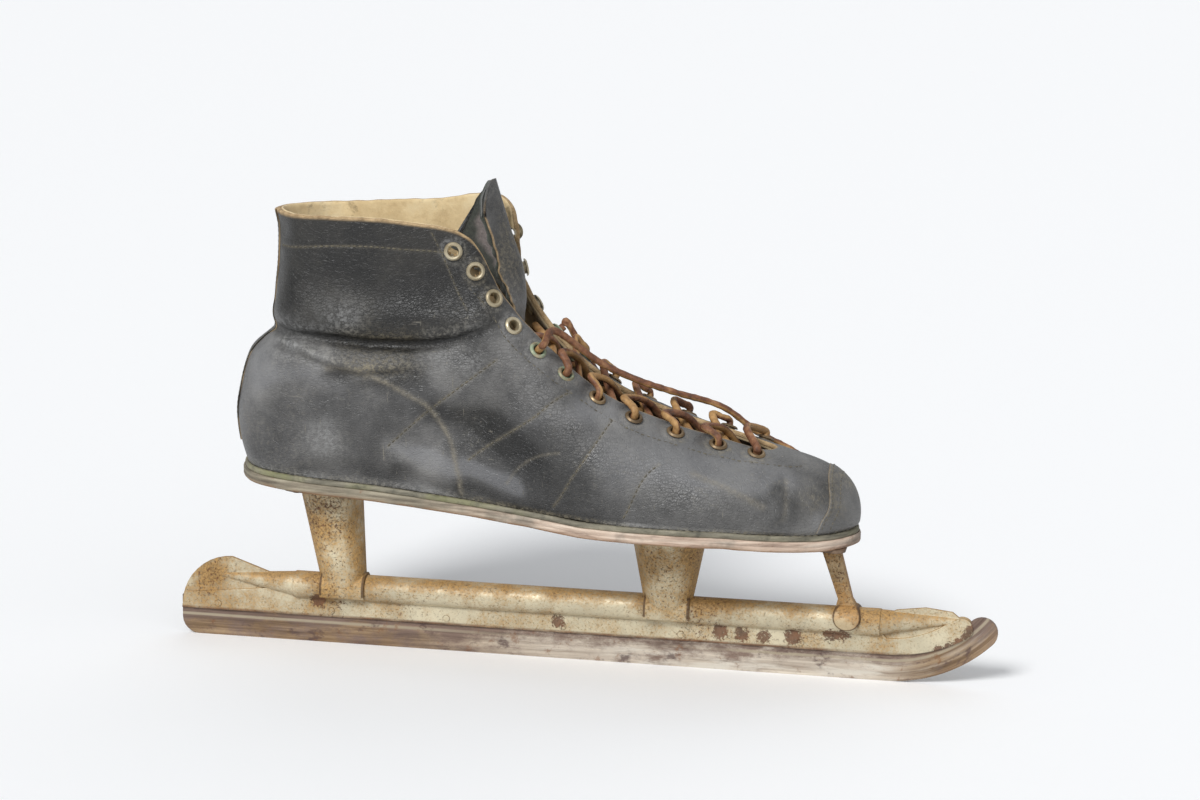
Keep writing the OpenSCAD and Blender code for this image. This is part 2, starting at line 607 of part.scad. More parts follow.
// Rivet with a low head under the plate, its shank ending in the welt
module rivet() {
    translate([0, 0, -plate_t - fit_gap - 1.3]) cylinder(r1 = rivet_d * 0.6, r2 = rivet_d * 0.9, h = 1.3);
    translate([0, 0, -plate_t - 0.5]) cylinder(d = rivet_d, h = plate_t + sole_t);
}
module heel_rivets() color([0.45, 0.36, 0.28]) stand_on_sole(heel_cup_x, heel_pitch)
    at_corners(rivet_spread_heel) rivet();
module sole_rivets() color([0.45, 0.36, 0.28]) stand_on_sole(sole_cup_x, 0)
    at_corners(rivet_spread_sole) rivet();
module toe_rivets() color([0.45, 0.36, 0.28]) stand_on_sole(brace_x, toe_pitch)
    at_corners(rivet_spread_toe) rivet();
module rivet_holes() {
    stand_on_sole(heel_cup_x, heel_pitch) at_corners(rivet_spread_heel) rivet_hole();
    stand_on_sole(sole_cup_x, 0) at_corners(rivet_spread_sole) rivet_hole();
    stand_on_sole(brace_x, toe_pitch) at_corners(rivet_spread_toe) rivet_hole();
}
module rivet_hole() cylinder(d = rivet_d + 2 * fit_gap, h = 40, center = true);

// Layer of the sole between two heights over its underside
module sole_layer(inset, z0, z1) {
    intersection() {
        linear_extrude(height = 140) polygon([for (i = [0:LOOP * 4 - 1]) plan_at(i / 4, inset)]);
        slab(160) polygon(concat([for (k = SOLE_LINE) k + [0, z0]],
            [for (k = flip(SOLE_LINE)) k + [0, z1]]));
    }
}
module outsole() color([0.55, 0.43, 0.36]) difference() {
    sole_layer(0, 0, outsole_t);
    rivet_holes();
}
module shank_form(l, w, t) translate([(breast_x + ball_x0) / 2, 0, (breast_z + ball_h) / 2 + outsole_t])
    rotate([0, waist_pitch, 0]) translate([-l / 2, -w / 2, 0]) cube([l, w, t]);
module welt() color([0.62, 0.6, 0.38]) difference() {
    sole_layer(0.8, outsole_t, sole_t);
    rivet_holes();
    shank_form(84 + 0.6, 14 + 0.6, 30);
}
module shank() color([0.45, 0.45, 0.47]) translate([0, 0, fit_gap]) shank_form(84, 14, welt_t - 0.8);
module insole() color([0.66, 0.52, 0.36])
    sole_layer(welt_ledge + wall + counter_t + 1.2, sole_t + seat_gap, sole_t + seat_gap + insole_t);

module quarter(side) difference() {
    ply(side < 0 ? 0 : HALF, side < 0 ? HALF : LOOP, 0, ROWS, 0, -leather_t);
    eyelet_holes(side);
}
module lining(side) difference() {
    ply(side < 0 ? 0 : HALF, side < 0 ? HALF : LOOP, 0, ROWS, -leather_t - ply_gap, -wall);
    eyelet_holes(side);
}
module quarter_right() color([0.24, 0.24, 0.25]) quarter(-1);
module quarter_left() color([0.24, 0.24, 0.25]) quarter(1);
module lining_right() color([0.7, 0.55, 0.32]) lining(-1);
module lining_left() color([0.7, 0.55, 0.32]) lining(1);
// Cap over the toe: its edge runs as an arch over the front of the vamp
module toe_cap() {
    half = 4;
    us = [for (i = [-half:half]) HALF + i / PER_STATION];
    rows = [0:6];
    arch = [for (i = [-half:half]) 0.2 + 0.5 * sqrt(1 - pow(i / (half + 0.4), 2))];
    color([0.22, 0.22, 0.23]) shell(
        [for (i = [0:2 * half]) [for (j = rows) layer(us[i], lerp(0.02, arch[i], j / 6), overlay_t + 0.3)]],
        [for (i = [0:2 * half]) [for (j = rows) layer(us[i], lerp(0.02, arch[i], j / 6), 0.3)]]);
}
module backstay() color([0.26, 0.25, 0.24])
    ply(-1 / PER_STATION, 1 / PER_STATION, 1, ROWS, overlay_t + ply_gap, ply_gap);
module heel_counter() color([0.52, 0.4, 0.26])
    ply(-8 / PER_STATION, 8 / PER_STATION, 0, 6, -wall - ply_gap, -wall - ply_gap - counter_t);

// Strip of the tongue along a middle line; its two sides sweep back as an arch, away from the front
module tongue_strip(line, half_widths, near_sweep, far_sweep, first, trim, lift_out, lift_in) {
    n = (len(line) - 1) * 3;
    across = [-1, -0.6, -0.25, 0.1, 0.4, 0.6, 0.8, 1];
    mids = [for (i = [0:n]) on_line(line, i / 3)];
    outs = [for (i = [0:n]) let (d = unit(mids[min(i + 1, n)] - mids[max(i - 1, 0)])) [d[1], -d[0]]];
    grid = function (lift) [for (f = across) [for (i = [first:n])
        let (w = on_line(half_widths, i / 3), y = f * (w - trim), h = pow(i / n, 1.6))
        let (side = f < 0 ? near_sweep : far_sweep, sweep = lerp(side[0], side[1], h))
        let (slope = 2 * sweep * y / (w * w), run = sqrt(1 + slope * slope))
        let (m = mids[i] + (lift / run - sweep * y * y / (w * w)) * outs[i])
        [m[0], y + lift * slope / run, m[1]]]];
    shell(grid(lift_out), grid(lift_in));
}
module tongue_base() color([0.25, 0.25, 0.25])
    tongue_strip(TONGUE_LOW, LOW_HALF, [4.5, 1.5], [4.5, 1.5], 0, 0, 0, -tongue_t);
module tongue_flap() color([0.25, 0.25, 0.25]) {
    tongue_strip(TONGUE_HIGH, HIGH_HALF, near_sweep, far_sweep, 0, 0, roll_r, roll_r - tongue_t);
    translate([hinge_x, 0, hinge_z]) rotate([90, 0, 0])
        cylinder(r = roll_r, h = throat_w - 11, center = true);
}
module tongue_felt() color([0.3, 0.28, 0.29])
    tongue_strip(TONGUE_HIGH, HIGH_HALF, near_sweep, far_sweep, 3, 0.6,
    roll_r - tongue_t - felt_gap, roll_r - tongue_t - felt_gap - felt_t);

// Eyelet: rolled rim outside, barrel through the leather, washer inside
module eyelet() {
    bore = eyelet_bore / 2;
    rim = eyelet_d / 2;
    foot = -wall - eyelet_lift;
    rotate_extrude($fn = 32) polygon([
        [bore, foot + 0.3], [bore + 0.7, foot - 0.6], [rim - washer_step, foot - 0.6],
        [rim - washer_step, foot],
        [bore + 0.5, foot],
        [bore + 0.5, eyelet_lift], [rim, eyelet_lift], [rim - 0.3, eyelet_lift + 0.5],
        [lerp(bore, rim, 0.5), eyelet_lift + 0.9], [bore + 0.2, eyelet_lift + 0.7],
        [bore, eyelet_lift + 0.3]]);
}
module eyelets_right() color([0.6, 0.52, 0.36]) for (k = [1:eyelet_count]) on_eyelet(-1, k) eyelet();
module eyelets_left() color([0.6, 0.52, 0.36]) for (k = [1:eyelet_count]) on_eyelet(1, k) eyelet();

module lace() color([0.5, 0.33, 0.18]) cord(LACE_ROUTE, lace_r, 2);
module lace_end_right() color([0.58, 0.42, 0.24]) cord(END_RIGHT, lace_r, 3);
module lace_end_left() color([0.58, 0.42, 0.24]) cord(END_LEFT, lace_r, 3);

runner();
frame_tube();
runner_pins();
heel_cup();
sole_cup();
toe_brace();
heel_plate();
sole_plate();
toe_plate();
heel_rivets();
sole_rivets();
toe_rivets();
outsole();
welt();
shank();
insole();
quarter_right();
quarter_left();
toe_cap();
backstay();
heel_counter();
lining_right();
lining_left();
tongue_base();
tongue_flap();
tongue_felt();
eyelets_right();
eyelets_left();
lace();
lace_end_right();
lace_end_left();
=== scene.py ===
"""Worn speed skate: the looks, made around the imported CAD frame.

Lengths are in millimetres until a mesh is made; materials, lights and the camera use metres.
"""

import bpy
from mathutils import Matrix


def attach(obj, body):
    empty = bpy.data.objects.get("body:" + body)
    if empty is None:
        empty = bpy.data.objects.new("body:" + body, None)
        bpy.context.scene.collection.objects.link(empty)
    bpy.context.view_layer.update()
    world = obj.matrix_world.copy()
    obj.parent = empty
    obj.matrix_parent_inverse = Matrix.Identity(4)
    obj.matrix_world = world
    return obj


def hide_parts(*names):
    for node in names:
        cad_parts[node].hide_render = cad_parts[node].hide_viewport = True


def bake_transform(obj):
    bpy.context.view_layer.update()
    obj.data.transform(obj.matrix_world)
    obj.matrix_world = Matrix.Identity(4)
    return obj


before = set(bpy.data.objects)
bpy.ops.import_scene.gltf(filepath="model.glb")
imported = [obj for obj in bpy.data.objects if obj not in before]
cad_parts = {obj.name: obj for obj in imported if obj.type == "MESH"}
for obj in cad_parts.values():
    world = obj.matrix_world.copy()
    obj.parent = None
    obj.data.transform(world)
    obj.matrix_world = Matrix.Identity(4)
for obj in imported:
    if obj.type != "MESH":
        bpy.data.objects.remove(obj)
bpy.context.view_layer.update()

import math

import bpy
import numpy as np
from mathutils import Matrix, Vector

MM = 0.001
BOOT = "boot"
TONGUE = "tongue"
SIDES = ((-1, "right"), (1, "left"))

# Camera: azimuth, elevation and roll in degrees, then target, distance and lens
CAMERA_TURN = (10.0, 12.0, 1.0)
CAMERA_TARGET = (0.00728, 0.0, 0.12217)
CAMERA_DISTANCE, CAMERA_LENS, SENSOR_WIDTH, CLIP_END = 1.30616, 86.83, 36.0, 60.0
# Sky colour and strength, then each sun: name, strength, spread in degrees, way of its light
SKY_COLOUR, SKY_STRENGTH = (0.93, 0.96, 1.0), 0.35
SUNS = (
    ("key_light", 2.4, 20.0, (0.25, 0.74, -0.68)),
    ("fill_light", 0.4, 70.0, (-0.65, 0.55, -0.6)),
    ("rim_light", 0.4, 60.0, (-0.1, -0.9, -0.8)))
FLOOR_HALF, FLOOR_ROUGH, SEEN_RAYS = 14.0, 0.75, ("Camera", "Glossy", "Transmission")
FLOOR_LIT, FLOOR_SEEN = (0.55, 0.55, 0.555), (0.975, 0.98, 0.985)


def make_camera():
    azimuth, elevation, roll = (math.radians(value) for value in CAMERA_TURN)
    flat = math.cos(elevation)
    back = Vector((math.sin(azimuth) * flat, -math.cos(azimuth) * flat, math.sin(elevation)))
    right = Vector((math.cos(azimuth), math.sin(azimuth), 0.0))
    up = back.cross(right)
    rolled_right = right * math.cos(roll) + up * math.sin(roll)
    rolled_up = up * math.cos(roll) - right * math.sin(roll)
    turn = Matrix((rolled_right, rolled_up, back)).transposed().to_4x4()
    camera = bpy.data.objects.new("camera", bpy.data.cameras.new("camera"))
    camera.matrix_world = Matrix.Translation(Vector(CAMERA_TARGET) + back * CAMERA_DISTANCE) @ turn
    camera.data.sensor_width = SENSOR_WIDTH
    camera.data.lens = CAMERA_LENS
    camera.data.clip_end = CLIP_END
    bpy.context.scene.collection.objects.link(camera)
    bpy.context.scene.camera = camera


def make_sun(name, strength, spread, toward):
    lamp = bpy.data.lights.new(name, "SUN")
    lamp.energy = strength
    lamp.angle = math.radians(spread)
    holder = bpy.data.objects.new(name, lamp)
    holder.rotation_mode = "QUATERNION"
    holder.rotation_quaternion = Vector(toward).to_track_quat("-Z", "Y")
    bpy.context.scene.collection.objects.link(holder)


def make_stage():
    scene = bpy.context.scene
    scene.view_settings.view_transform = "Standard"
    world = bpy.data.worlds.new("studio")
    world.use_nodes = True
    sky = world.node_tree.nodes["Background"]
    sky.inputs["Color"].default_value = (*SKY_COLOUR, 1.0)
    sky.inputs["Strength"].default_value = SKY_STRENGTH
    scene.world = world
    for sun in SUNS:
        make_sun(*sun)
    mesh = bpy.data.meshes.new("floor")
    corners = [(x * FLOOR_HALF, y * FLOOR_HALF, 0.0) for x, y in ((-1, -1), (1, -1), (1, 1), (-1, 1))]
    mesh.from_pydata(corners, [], [(0, 1, 2, 3)])
    floor = bpy.data.objects.new("floor", mesh)
    scene.collection.objects.link(floor)
    paint = Paint("pale_floor")
    camera, gloss, glass = (paint.node("LightPath", f"Is {ray} Ray", {}) for ray in SEEN_RAYS)
    paint.base = paint.mix(camera.larger(gloss).larger(glass), FLOOR_LIT, FLOOR_SEEN)
    mesh.materials.append(paint.done({"Roughness": FLOOR_ROUGH}))


# Node materials
class Field:
    """A number or colour over a surface: an output of a node, which sums and products can take."""

    def __init__(self, paint, socket):
        self.paint = paint
        self.socket = socket

    def __add__(self, other):
        return self.paint.calc("ADD", self, other)

    def __sub__(self, other):
        return self.paint.calc("SUBTRACT", self, other)

    def __rsub__(self, other):
        return self.paint.calc("SUBTRACT", other, self)

    def __mul__(self, other):
        return self.paint.calc("MULTIPLY", self, other)

    def __abs__(self):
        return self.paint.calc("ABSOLUTE", self)

    def larger(self, other):
        return self.paint.calc("MAXIMUM", self, other)

    def band(self, low, high, start=0.0, end=1.0):
        """Smooth step between two places, from a value at the first to one at the second."""
        return self.paint.node("MapRange", "Result", {
            "Value": self, "From Min": low, "From Max": high, "To Min": start, "To Max": end},
            interpolation_type="SMOOTHSTEP")

    def ramp(self, *stops):
        """Colours at given positions, and blends between them."""
        colours = self.paint.node("ValToRGB", "Color", {"Fac": self})
        marks = colours.socket.node.color_ramp.elements
        while len(marks) < len(stops):
            marks.new(0.5)
        for mark, (position, colour) in zip(marks, stops):
            mark.position = position
            mark.color = (*colour, 1.0)
        return colours


class Paint:
    """A node material while it is built. Patterns follow the piece's own place in the frame."""

    def __init__(self, name):
        self.material = bpy.data.materials.new(name)
        self.material.use_nodes = True
        self.tree = self.material.node_tree
        self.shader = self.tree.nodes["Principled BSDF"]
        self.place = self.node("TexCoord", "Object", {})
        self.base = None

    def put(self, socket, value):
        """Links or sets a socket; a colour may be given without its alpha."""
        if isinstance(value, Field):
            self.tree.links.new(value.socket, socket)
        elif socket.type == "RGBA":
            socket.default_value = (*value, 1.0)
        else:
            socket.default_value = value

    def node(self, kind, output, sockets, **settings):
        """Adds a node with its settings and sockets, and gives one of its outputs."""
        node = self.tree.nodes.new("ShaderNode" + kind)
        for name, value in settings.items():
            setattr(node, name, value)
        for name, value in sockets.items():
            self.put(node.inputs[name], value)
        return Field(self, node.outputs[output])

    def calc(self, operation, first, second=0.0):
        return self.node("Math", "Value", {0: first, 1: second}, operation=operation)

    def length(self, first, second):
        return self.calc("SQRT", first * first + second * second)

    def stretched(self, scale, turn=(0.0, 0.0, 0.0)):
        turned = [math.radians(value) for value in turn]
        return self.node("Mapping", "Vector", {"Vector": self.place, "Scale": scale, "Rotation": turned})

    def noise(self, scale, detail=4.0, rough=0.55, where=None, twist=0.0):
        return self.node("TexNoise", "Fac", {
            "Vector": where or self.place, "Scale": scale, "Detail": detail, "Roughness": rough,
            "Distortion": twist})

    def streaks(self, scale, turn=(0.0, 0.0, 0.0), **looks):
        return self.noise(1.0, where=self.stretched(scale, turn), **looks)

    def patches(self, scale, low, high, **looks):
        return self.noise(scale, **looks).band(low, high)

    def cell_edges(self, scale, where=None):
        sockets = {"Vector": where or self.place, "Scale": scale}
        return self.node("TexVoronoi", "Distance", sockets, feature="DISTANCE_TO_EDGE")

    def mix(self, share, first, second):
        return self.node("Mix", 2, {0: share, 6: first, 7: second}, data_type="RGBA")

    def coat(self, share, over, amount=1.0):
        """Lays a colour over the base by a share, which an amount weakens."""
        self.base = self.mix(share if amount == 1.0 else share * amount, self.base, over)

    def mask(self, name):
        return self.node("Attribute", "Fac", {}, attribute_name=name)

    def parts(self, vector):
        outputs = self.node("SeparateXYZ", "X", {"Vector": vector}).socket.node.outputs
        return tuple(Field(self, outputs[axis]) for axis in "XYZ")

    def axes(self):
        return self.parts(self.place)

    def facing(self):
        """Way the surface faces, as its three parts from -1 to 1."""
        return self.parts(self.node("NewGeometry", "Normal", {}))

    def near(self, point, reach):
        """1 at a point of the frame, falling to 0 at its reach, both in metres."""
        away = self.node("VectorMath", "Value", {0: self.place, 1: point}, operation="DISTANCE")
        return away.band(0.25 * reach, reach, 1.0, 0.0)

    def bump(self, height, depth, under=None, round_edge=0.0):
        """Relief whose height, from 0 to 1, stands for a depth in metres."""
        sockets = {"Strength": 1.0, "Distance": depth, "Height": height}
        if under is not None:
            sockets["Normal"] = under
        elif round_edge > 0.0:
            sockets["Normal"] = self.node("Bevel", "Normal", {"Radius": round_edge}, samples=4)
        relief_normal = self.node("Bump", "Normal", sockets)
        self.put(self.shader.inputs["Normal"], relief_normal)
        return relief_normal

    def done(self, sockets):
        """Gives the shader its base colour and other sockets, and returns the material."""
        self.put(self.shader.inputs["Base Color"], self.base)
        for name, value in sockets.items():
            self.put(self.shader.inputs[name], value)
        return self.material


# Sizes shared with the CAD source, in millimetres
HEEL_X, BOOT_LEN = -159.0, 286.0
HEEL_H, BALL_H, HEEL_PITCH, TOE_SPRING = 78.0, 68.0, 3.3, -4.0
HEEL_W, WAIST_W, BALL_W = 61.0, 62.0, 92.0
OUTSOLE_T, WELT_T, WELT_LEDGE, SEAT_GAP, INSOLE_T = 4.6, 2.4, 2.2, 0.2, 2.6
SOLE_T = OUTSOLE_T + WELT_T
COLLAR_H, COLLAR_W, THROAT_W = 203.5, 57.0, 29.0
SLUMP, CREASE, TUCK = 7.0, 4.5, 8.0
LEATHER_T, LINING_T, PLY_GAP = 2.2, 1.0, 0.1
COUNTER_T, TONGUE_T, FELT_T, FELT_GAP = 1.6, 1.8, 2.0, 0.3
WALL = LEATHER_T + PLY_GAP + LINING_T
EYELET_INSET, EYELET_COUNT, LACED_FROM = 10.5, 11, 5
LACE_R = 1.8
TOE_X = HEEL_X + BOOT_LEN
THROAT_END_Z = BALL_H + SOLE_T + 30.0
HINGE_X, HINGE_SHARE, ROLL_R = HEEL_X + 129.0, 0.528, 1.6
HINGE_Z = THROAT_END_Z + HINGE_SHARE * (COLLAR_H - THROAT_END_Z)
# Steps over which slopes are read: along the plan, along the upper, up the upper, at its top edge
PLAN_STEP, ALONG_STEP, RISE_STEP, EDGE_STEP = 0.02, 0.03, 0.01, 0.02


def lerp(first, second, share):
    return first + (second - first) * share


def ease(value):
    share = np.clip(value, 0.0, 1.0)
    return share * share * (3.0 - 2.0 * share)


def bell(value):
    return np.exp(-np.square(value))


def climb(value, start, span):
    return ease((value - start) / span)


def window(value, start, rise, end, fall):
    return climb(value, start, rise) * (1.0 - climb(value, end, fall))


def unit(vectors):
    return vectors / np.linalg.norm(vectors, axis=-1, keepdims=True)


# Underside of the sole as a height over the ice, carried on past heel and toe
PAST_END = 20.0
BREAST_X, BALL_X0, BALL_X1 = HEEL_X + 69.0, HEEL_X + 164.0, HEEL_X + 229.0
HEEL_SLOPE = -math.tan(math.radians(HEEL_PITCH))
HEEL_CUP_X = HEEL_X + 41.0
SOLE_XS = [HEEL_X - PAST_END, BREAST_X, BALL_X0, BALL_X1, TOE_X + PAST_END]
SOLE_ZS = [*(HEEL_H + HEEL_SLOPE * (x - HEEL_CUP_X) for x in SOLE_XS[:2]), BALL_H, BALL_H,
           BALL_H + TOE_SPRING * (SOLE_XS[-1] - BALL_X1) / (TOE_X - BALL_X1)]


def sole_z(x):
    return np.interp(x, SOLE_XS, SOLE_ZS)


# Plan of the sole: share of its length from the heel, half width
PLAN = [
    (0.0, 0.0), (0.035, 0.36 * HEEL_W), (0.12, 0.5 * HEEL_W), (0.26, 0.5 * WAIST_W),
    (0.4, 0.52 * WAIST_W), (0.52, 0.25 * (WAIST_W + BALL_W) - 1.0), (0.62, 0.475 * BALL_W),
    (0.725, 0.5 * BALL_W), (0.83, 0.468 * BALL_W), (0.915, 0.37 * BALL_W),
    (0.97, 0.225 * BALL_W), (1.0, 0.0)]
HALF = len(PLAN) - 1
LOOP = 2 * HALF
# Top edge of the upper, from the heel over the collar corner down the throat. Collar: place from the heel,
# share of its width, rise. Throat: place from the heel, share of its width, more width, share of its rise
COLLAR_EDGE = ((16.0, 0.0, 0.0), (28.0, 0.37, 0.0), (50.0, 0.49, 0.5), (80.0, 0.49, 1.0))
THROAT_EDGE = ((126.0, 0.5, 3.0, 0.67), (147.0, 0.5, 0.0, 0.425), (171.0, 0.5, -1.0, 0.235),
               (199.0, 0.45, -1.0, 0.12), (225.0, 0.4, -1.0, 0.05))
TOP = [
    *((HEEL_X + x, wide * COLLAR_W, COLLAR_H + rise) for x, wide, rise in COLLAR_EDGE),
    (HEEL_X + 110.0, 0.5 * THROAT_W + 8.0, COLLAR_H - 2.0),
    *((HEEL_X + x, wide * THROAT_W + more, lerp(THROAT_END_Z, COLLAR_H, share))
      for x, wide, more, share in THROAT_EDGE),
    (HEEL_X + 242.0, 0.26 * THROAT_W, THROAT_END_Z + 0.5), (HEEL_X + 247.0, 0.0, THROAT_END_Z)]
# Slump of the collar's front corner: share at the stations that have one, rise and reach forward by side
SLUMP_SHARE, SLUMP_RISE, SLUMP_AHEAD = {3: 0.25, 4: 1.0, 5: 0.25}, {-1: -0.7, 1: 1.0}, {-1: 0.0, 1: 1.2}
# At each station: bulge, lean and rise of the lower bow, then lean, drape and rise of the upper bow
BELLY = [
    (0, -20, 0.36, 9, 0, 0.6), (5, -13, 0.35, 6, 2, 0.62), (8, 0, 0.3, 0, -3, 0.67),
    (8, 0, 0.26, -2, -3, 0.69), (8, 0, 0.24, -2, 3, 0.7), (8, -1, 0.24, 6, 13, 0.77),
    (7, -2, 0.25, 10, 17, 0.79), (6, -1, 0.27, 13, 17, 0.8), (5, -1, 0.34, 15, 16, 0.81),
    (3.5, 0, 0.45, 17, 12.5, 0.81), (1.5, 2, 0.55, 19, 6, 0.88), (0, 3.5, 0.6, 25, 0, 0.92)]


def curve4(a, b, c, d, f):
    """Smooth curve from b to c, with a before and d after them."""
    square, cube = 2 * a - 5 * b + 4 * c - d, 3 * b - a - 3 * c + d
    return 0.5 * (2 * b + (c - a) * f + square * f ** 2 + cube * f ** 3)


def on_loop(points, u):
    """Smooth closed curve through points, read at stations u."""
    count = len(points)
    wrapped = np.mod(np.asarray(u, float), count)
    i = np.floor(wrapped).astype(int)
    f = (wrapped - i).reshape(wrapped.shape + (1,) * (points.ndim - 1))
    return curve4(*(points[(i + step) % count] for step in (-1, 0, 1, 2)), f)


def on_line(points, u):
    """Smooth open curve through points, read at places u from 0 to the last point's number."""
    points = np.asarray(points, float)
    count = len(points)
    padded = np.concatenate([[2 * points[0] - points[1]], points, [2 * points[-1] - points[-2]]])
    u = np.asarray(u, float)
    i = np.clip(np.floor(u).astype(int), 0, count - 2)
    f = (u - i).reshape(u.shape + (1,) * (points.ndim - 1))
    return curve4(*(padded[i + step] for step in range(4)), f)


def half_of(k):
    return k if k <= HALF else LOOP - k


def side_of(k):
    return -1 if k <= HALF else 1


PLAN_LOOP = np.array([
    [HEEL_X + BOOT_LEN * PLAN[half_of(k)][0], side_of(k) * PLAN[half_of(k)][1]] for k in range(LOOP)])


def plan_at(u, inset):
    """Outline of the sole at station u: 0 at the heel, 11 at the toe, right side first."""
    u = np.asarray(u, float)
    along = on_loop(PLAN_LOOP, u + PLAN_STEP) - on_loop(PLAN_LOOP, u - PLAN_STEP)
    inward = unit(np.stack([-along[..., 1], along[..., 0]], -1))
    return on_loop(PLAN_LOOP, u) + np.asarray(inset, float)[..., None] * inward


def make_ribs():
    ribs = []
    for k in range(LOOP):
        h, side = half_of(k), side_of(k)
        bulge, lean0, rise0, lean1, drape, rise1 = BELLY[h]
        top = TOP[h]
        foot = plan_at(float(k), WELT_LEDGE)
        z0 = sole_z(foot[0]) + SOLE_T + SEAT_GAP
        slump = SLUMP_SHARE.get(h, 0.0) * SLUMP
        x3, z3 = top[0] + slump * SLUMP_AHEAD[side], top[2] + slump * SLUMP_RISE[side]
        ribs.append([
            [foot[0], foot[1], z0],
            [foot[0] + lean0, foot[1] + side * bulge, lerp(z0, z3, rise0)],
            [x3 + lean1, side * (top[1] + drape), lerp(z0, z3, rise1)],
            [x3, side * top[1], z3]])
    return np.array(ribs)


RIBS = make_ribs()
# Ankle crease: its height, middle of the ankle, stations at the side and rear, half widths of its forms
CREASE_Z, ANKLE = COLLAR_H - 54.5, np.array([HEEL_X + 62.0, 0.0, 0.0])
SIDE_REACH, REAR_REACH = (0.0, 1.6, 3.6, 1.8), 2.2
CREASE_WIDE, TUCK_WIDE, ROLL_SHARE, ROLL_UP, ROLL_WIDE = 6.0, 19.0, 0.6, 13.0, 8.0


def station_half(u):
    w = np.mod(u, LOOP)
    return np.where(w <= HALF, w, LOOP - w)


def upper(u, t):
    """Outer face of the boot's upper at station u and height share t."""
    u, t = np.broadcast_arrays(np.asarray(u, float), np.asarray(t, float))
    r = on_loop(RIBS, u)
    q = 1.0 - t
    weights = [q ** 3, 3 * q * q * t, 3 * q * t * t, t ** 3]
    p = sum(w[..., None] * r[..., i, :] for i, w in enumerate(weights))
    h = station_half(u)
    out = p - ANKLE
    out[..., 2] = 0.0
    dz = p[..., 2] - CREASE_Z
    side = window(h, *SIDE_REACH)
    rear = 1.0 - ease(h / REAR_REACH)
    fold = CREASE * side * (bell(dz / CREASE_WIDE) - ROLL_SHARE * bell((dz - ROLL_UP) / ROLL_WIDE))
    step = TUCK * rear * np.where(dz < 0, bell(dz / CREASE_WIDE), bell(dz / TUCK_WIDE))
    return p - (fold + step)[..., None] * unit(out)


def upper_rise(u, t):
    return upper(u, t + RISE_STEP) - upper(u, t - RISE_STEP)


def upper_out(u, t):
    """Outward way of that face."""
    along = upper(u + ALONG_STEP, t) - upper(u - ALONG_STEP, t)
    return unit(np.cross(along, upper_rise(u, t)))


def edge_pace(u):
    """Millimetres per height share at the top edge."""
    return np.linalg.norm(upper(u, 1.0) - upper(u, 1.0 - EDGE_STEP), axis=-1) / EDGE_STEP


# Eyelets and the lace through them: first station, step and growth of the step, first one's smaller inset
EYELET_FROM, EYELET_STEP, EYELET_GROW, FIRST_CLOSER = 3.77, 0.383, 0.017, 2.0


def eyelet_u(side, k):
    station = EYELET_FROM + EYELET_STEP * (k - 1) + EYELET_GROW * (k - 1) ** 2
    return station if side < 0 else LOOP - station


def eyelet_t(side, k):
    inset = EYELET_INSET - FIRST_CLOSER if k == 1 else EYELET_INSET
    return 1.0 - inset / edge_pace(eyelet_u(side, k))


def eyelet_frame(side, k):
    """Middle, outward axis and way to the throat edge of one eyelet, and the edge point."""
    u, t = eyelet_u(side, k), eyelet_t(side, k)
    middle, edge = upper(u, t), upper(u, 1.0)
    return middle, upper_out(u, t), unit(edge - middle), edge


# Lace by an eyelet, as heights over the leather and ways to the throat edge
UNDER, OVER = WALL + LACE_R + 2.0, LACE_R + 2.0
COME_UP = ((-UNDER, EYELET_INSET - 1.0), (-UNDER - 0.2, 4.4), (-WALL - 1.2, 0.3), (1.2, 0.0), (OVER, 1.2))
GO_OVER = ((OVER + 0.2, 5.0), (OVER - 0.3, EYELET_INSET + 0.5))
GO_DOWN = ((OVER, 0.0), (1.2, 0.0), (-WALL - 1.2, 0.3), (-UNDER - 0.2, 4.4), (-UNDER, EYELET_INSET + 1.0))
# Lace where two strands cross: half the room between them, and their drop
CROSS_ROOM, CROSS_DROP, FIRST_ROOM, FIRST_DROP = LACE_R + 0.5, 0.4, LACE_R + 0.4, 3.2
LAST_BAR = np.array([2.0, 0.0, LACE_R + 3.4])
# Free ends: heights over the eyelet, places over the gap as station, share across and rise, then places
# on the left side as station, height share and lift
END_START = (0.6, 2.6)
RIGHT_OVER = ((6.05, 0.02, 9.6), (6.8, 0.35, 9.4), (7.4, 0.6, 9.2), (8.0, 0.85, 9.0))
RIGHT_DOWN = ((8.5, 0.9, 8.4), (8.85, 0.74, 3.0), (9.1, 0.55, 2.3), (9.3, 0.35, 2.3), (9.4, 0.14, 2.3))
LEFT_DOWN = ((5.85, 0.74, 3.8), (6.1, 0.62, 2.3), (6.3, 0.46, 2.2), (6.45, 0.3, 2.2), (6.5, 0.12, 2.2))


def by_eyelet(side, k, steps):
    middle, out, way, _ = eyelet_frame(side, k)
    return [middle + out * height + way * ahead for height, ahead in steps]


def crossing(side, k, room, drop):
    middle = 0.5 * (eyelet_frame(side, k)[3] + eyelet_frame(-side, k + 1)[3])
    return [middle + np.array([0.0, 0.0, -side * room - drop])]


def strand(side):
    points = []
    for k in range(LACED_FROM + 1, EYELET_COUNT + 1):
        here = -side if (k - LACED_FROM) % 2 == 1 else side
        points += by_eyelet(here, k, COME_UP)
        if k < EYELET_COUNT:
            points += by_eyelet(here, k, GO_OVER) + crossing(here, k, CROSS_ROOM, CROSS_DROP)
    return by_eyelet(side, LACED_FROM, GO_DOWN) + crossing(side, LACED_FROM, FIRST_ROOM, FIRST_DROP) + points


def lace_route():
    bar = 0.5 * (eyelet_frame(-1, EYELET_COUNT)[3] + eyelet_frame(1, EYELET_COUNT)[3]) + LAST_BAR
    return np.array(strand(-1) + [bar] + strand(1)[::-1])


def layer(u, t, lift):
    return upper(u, t) + lift * upper_out(u, t)


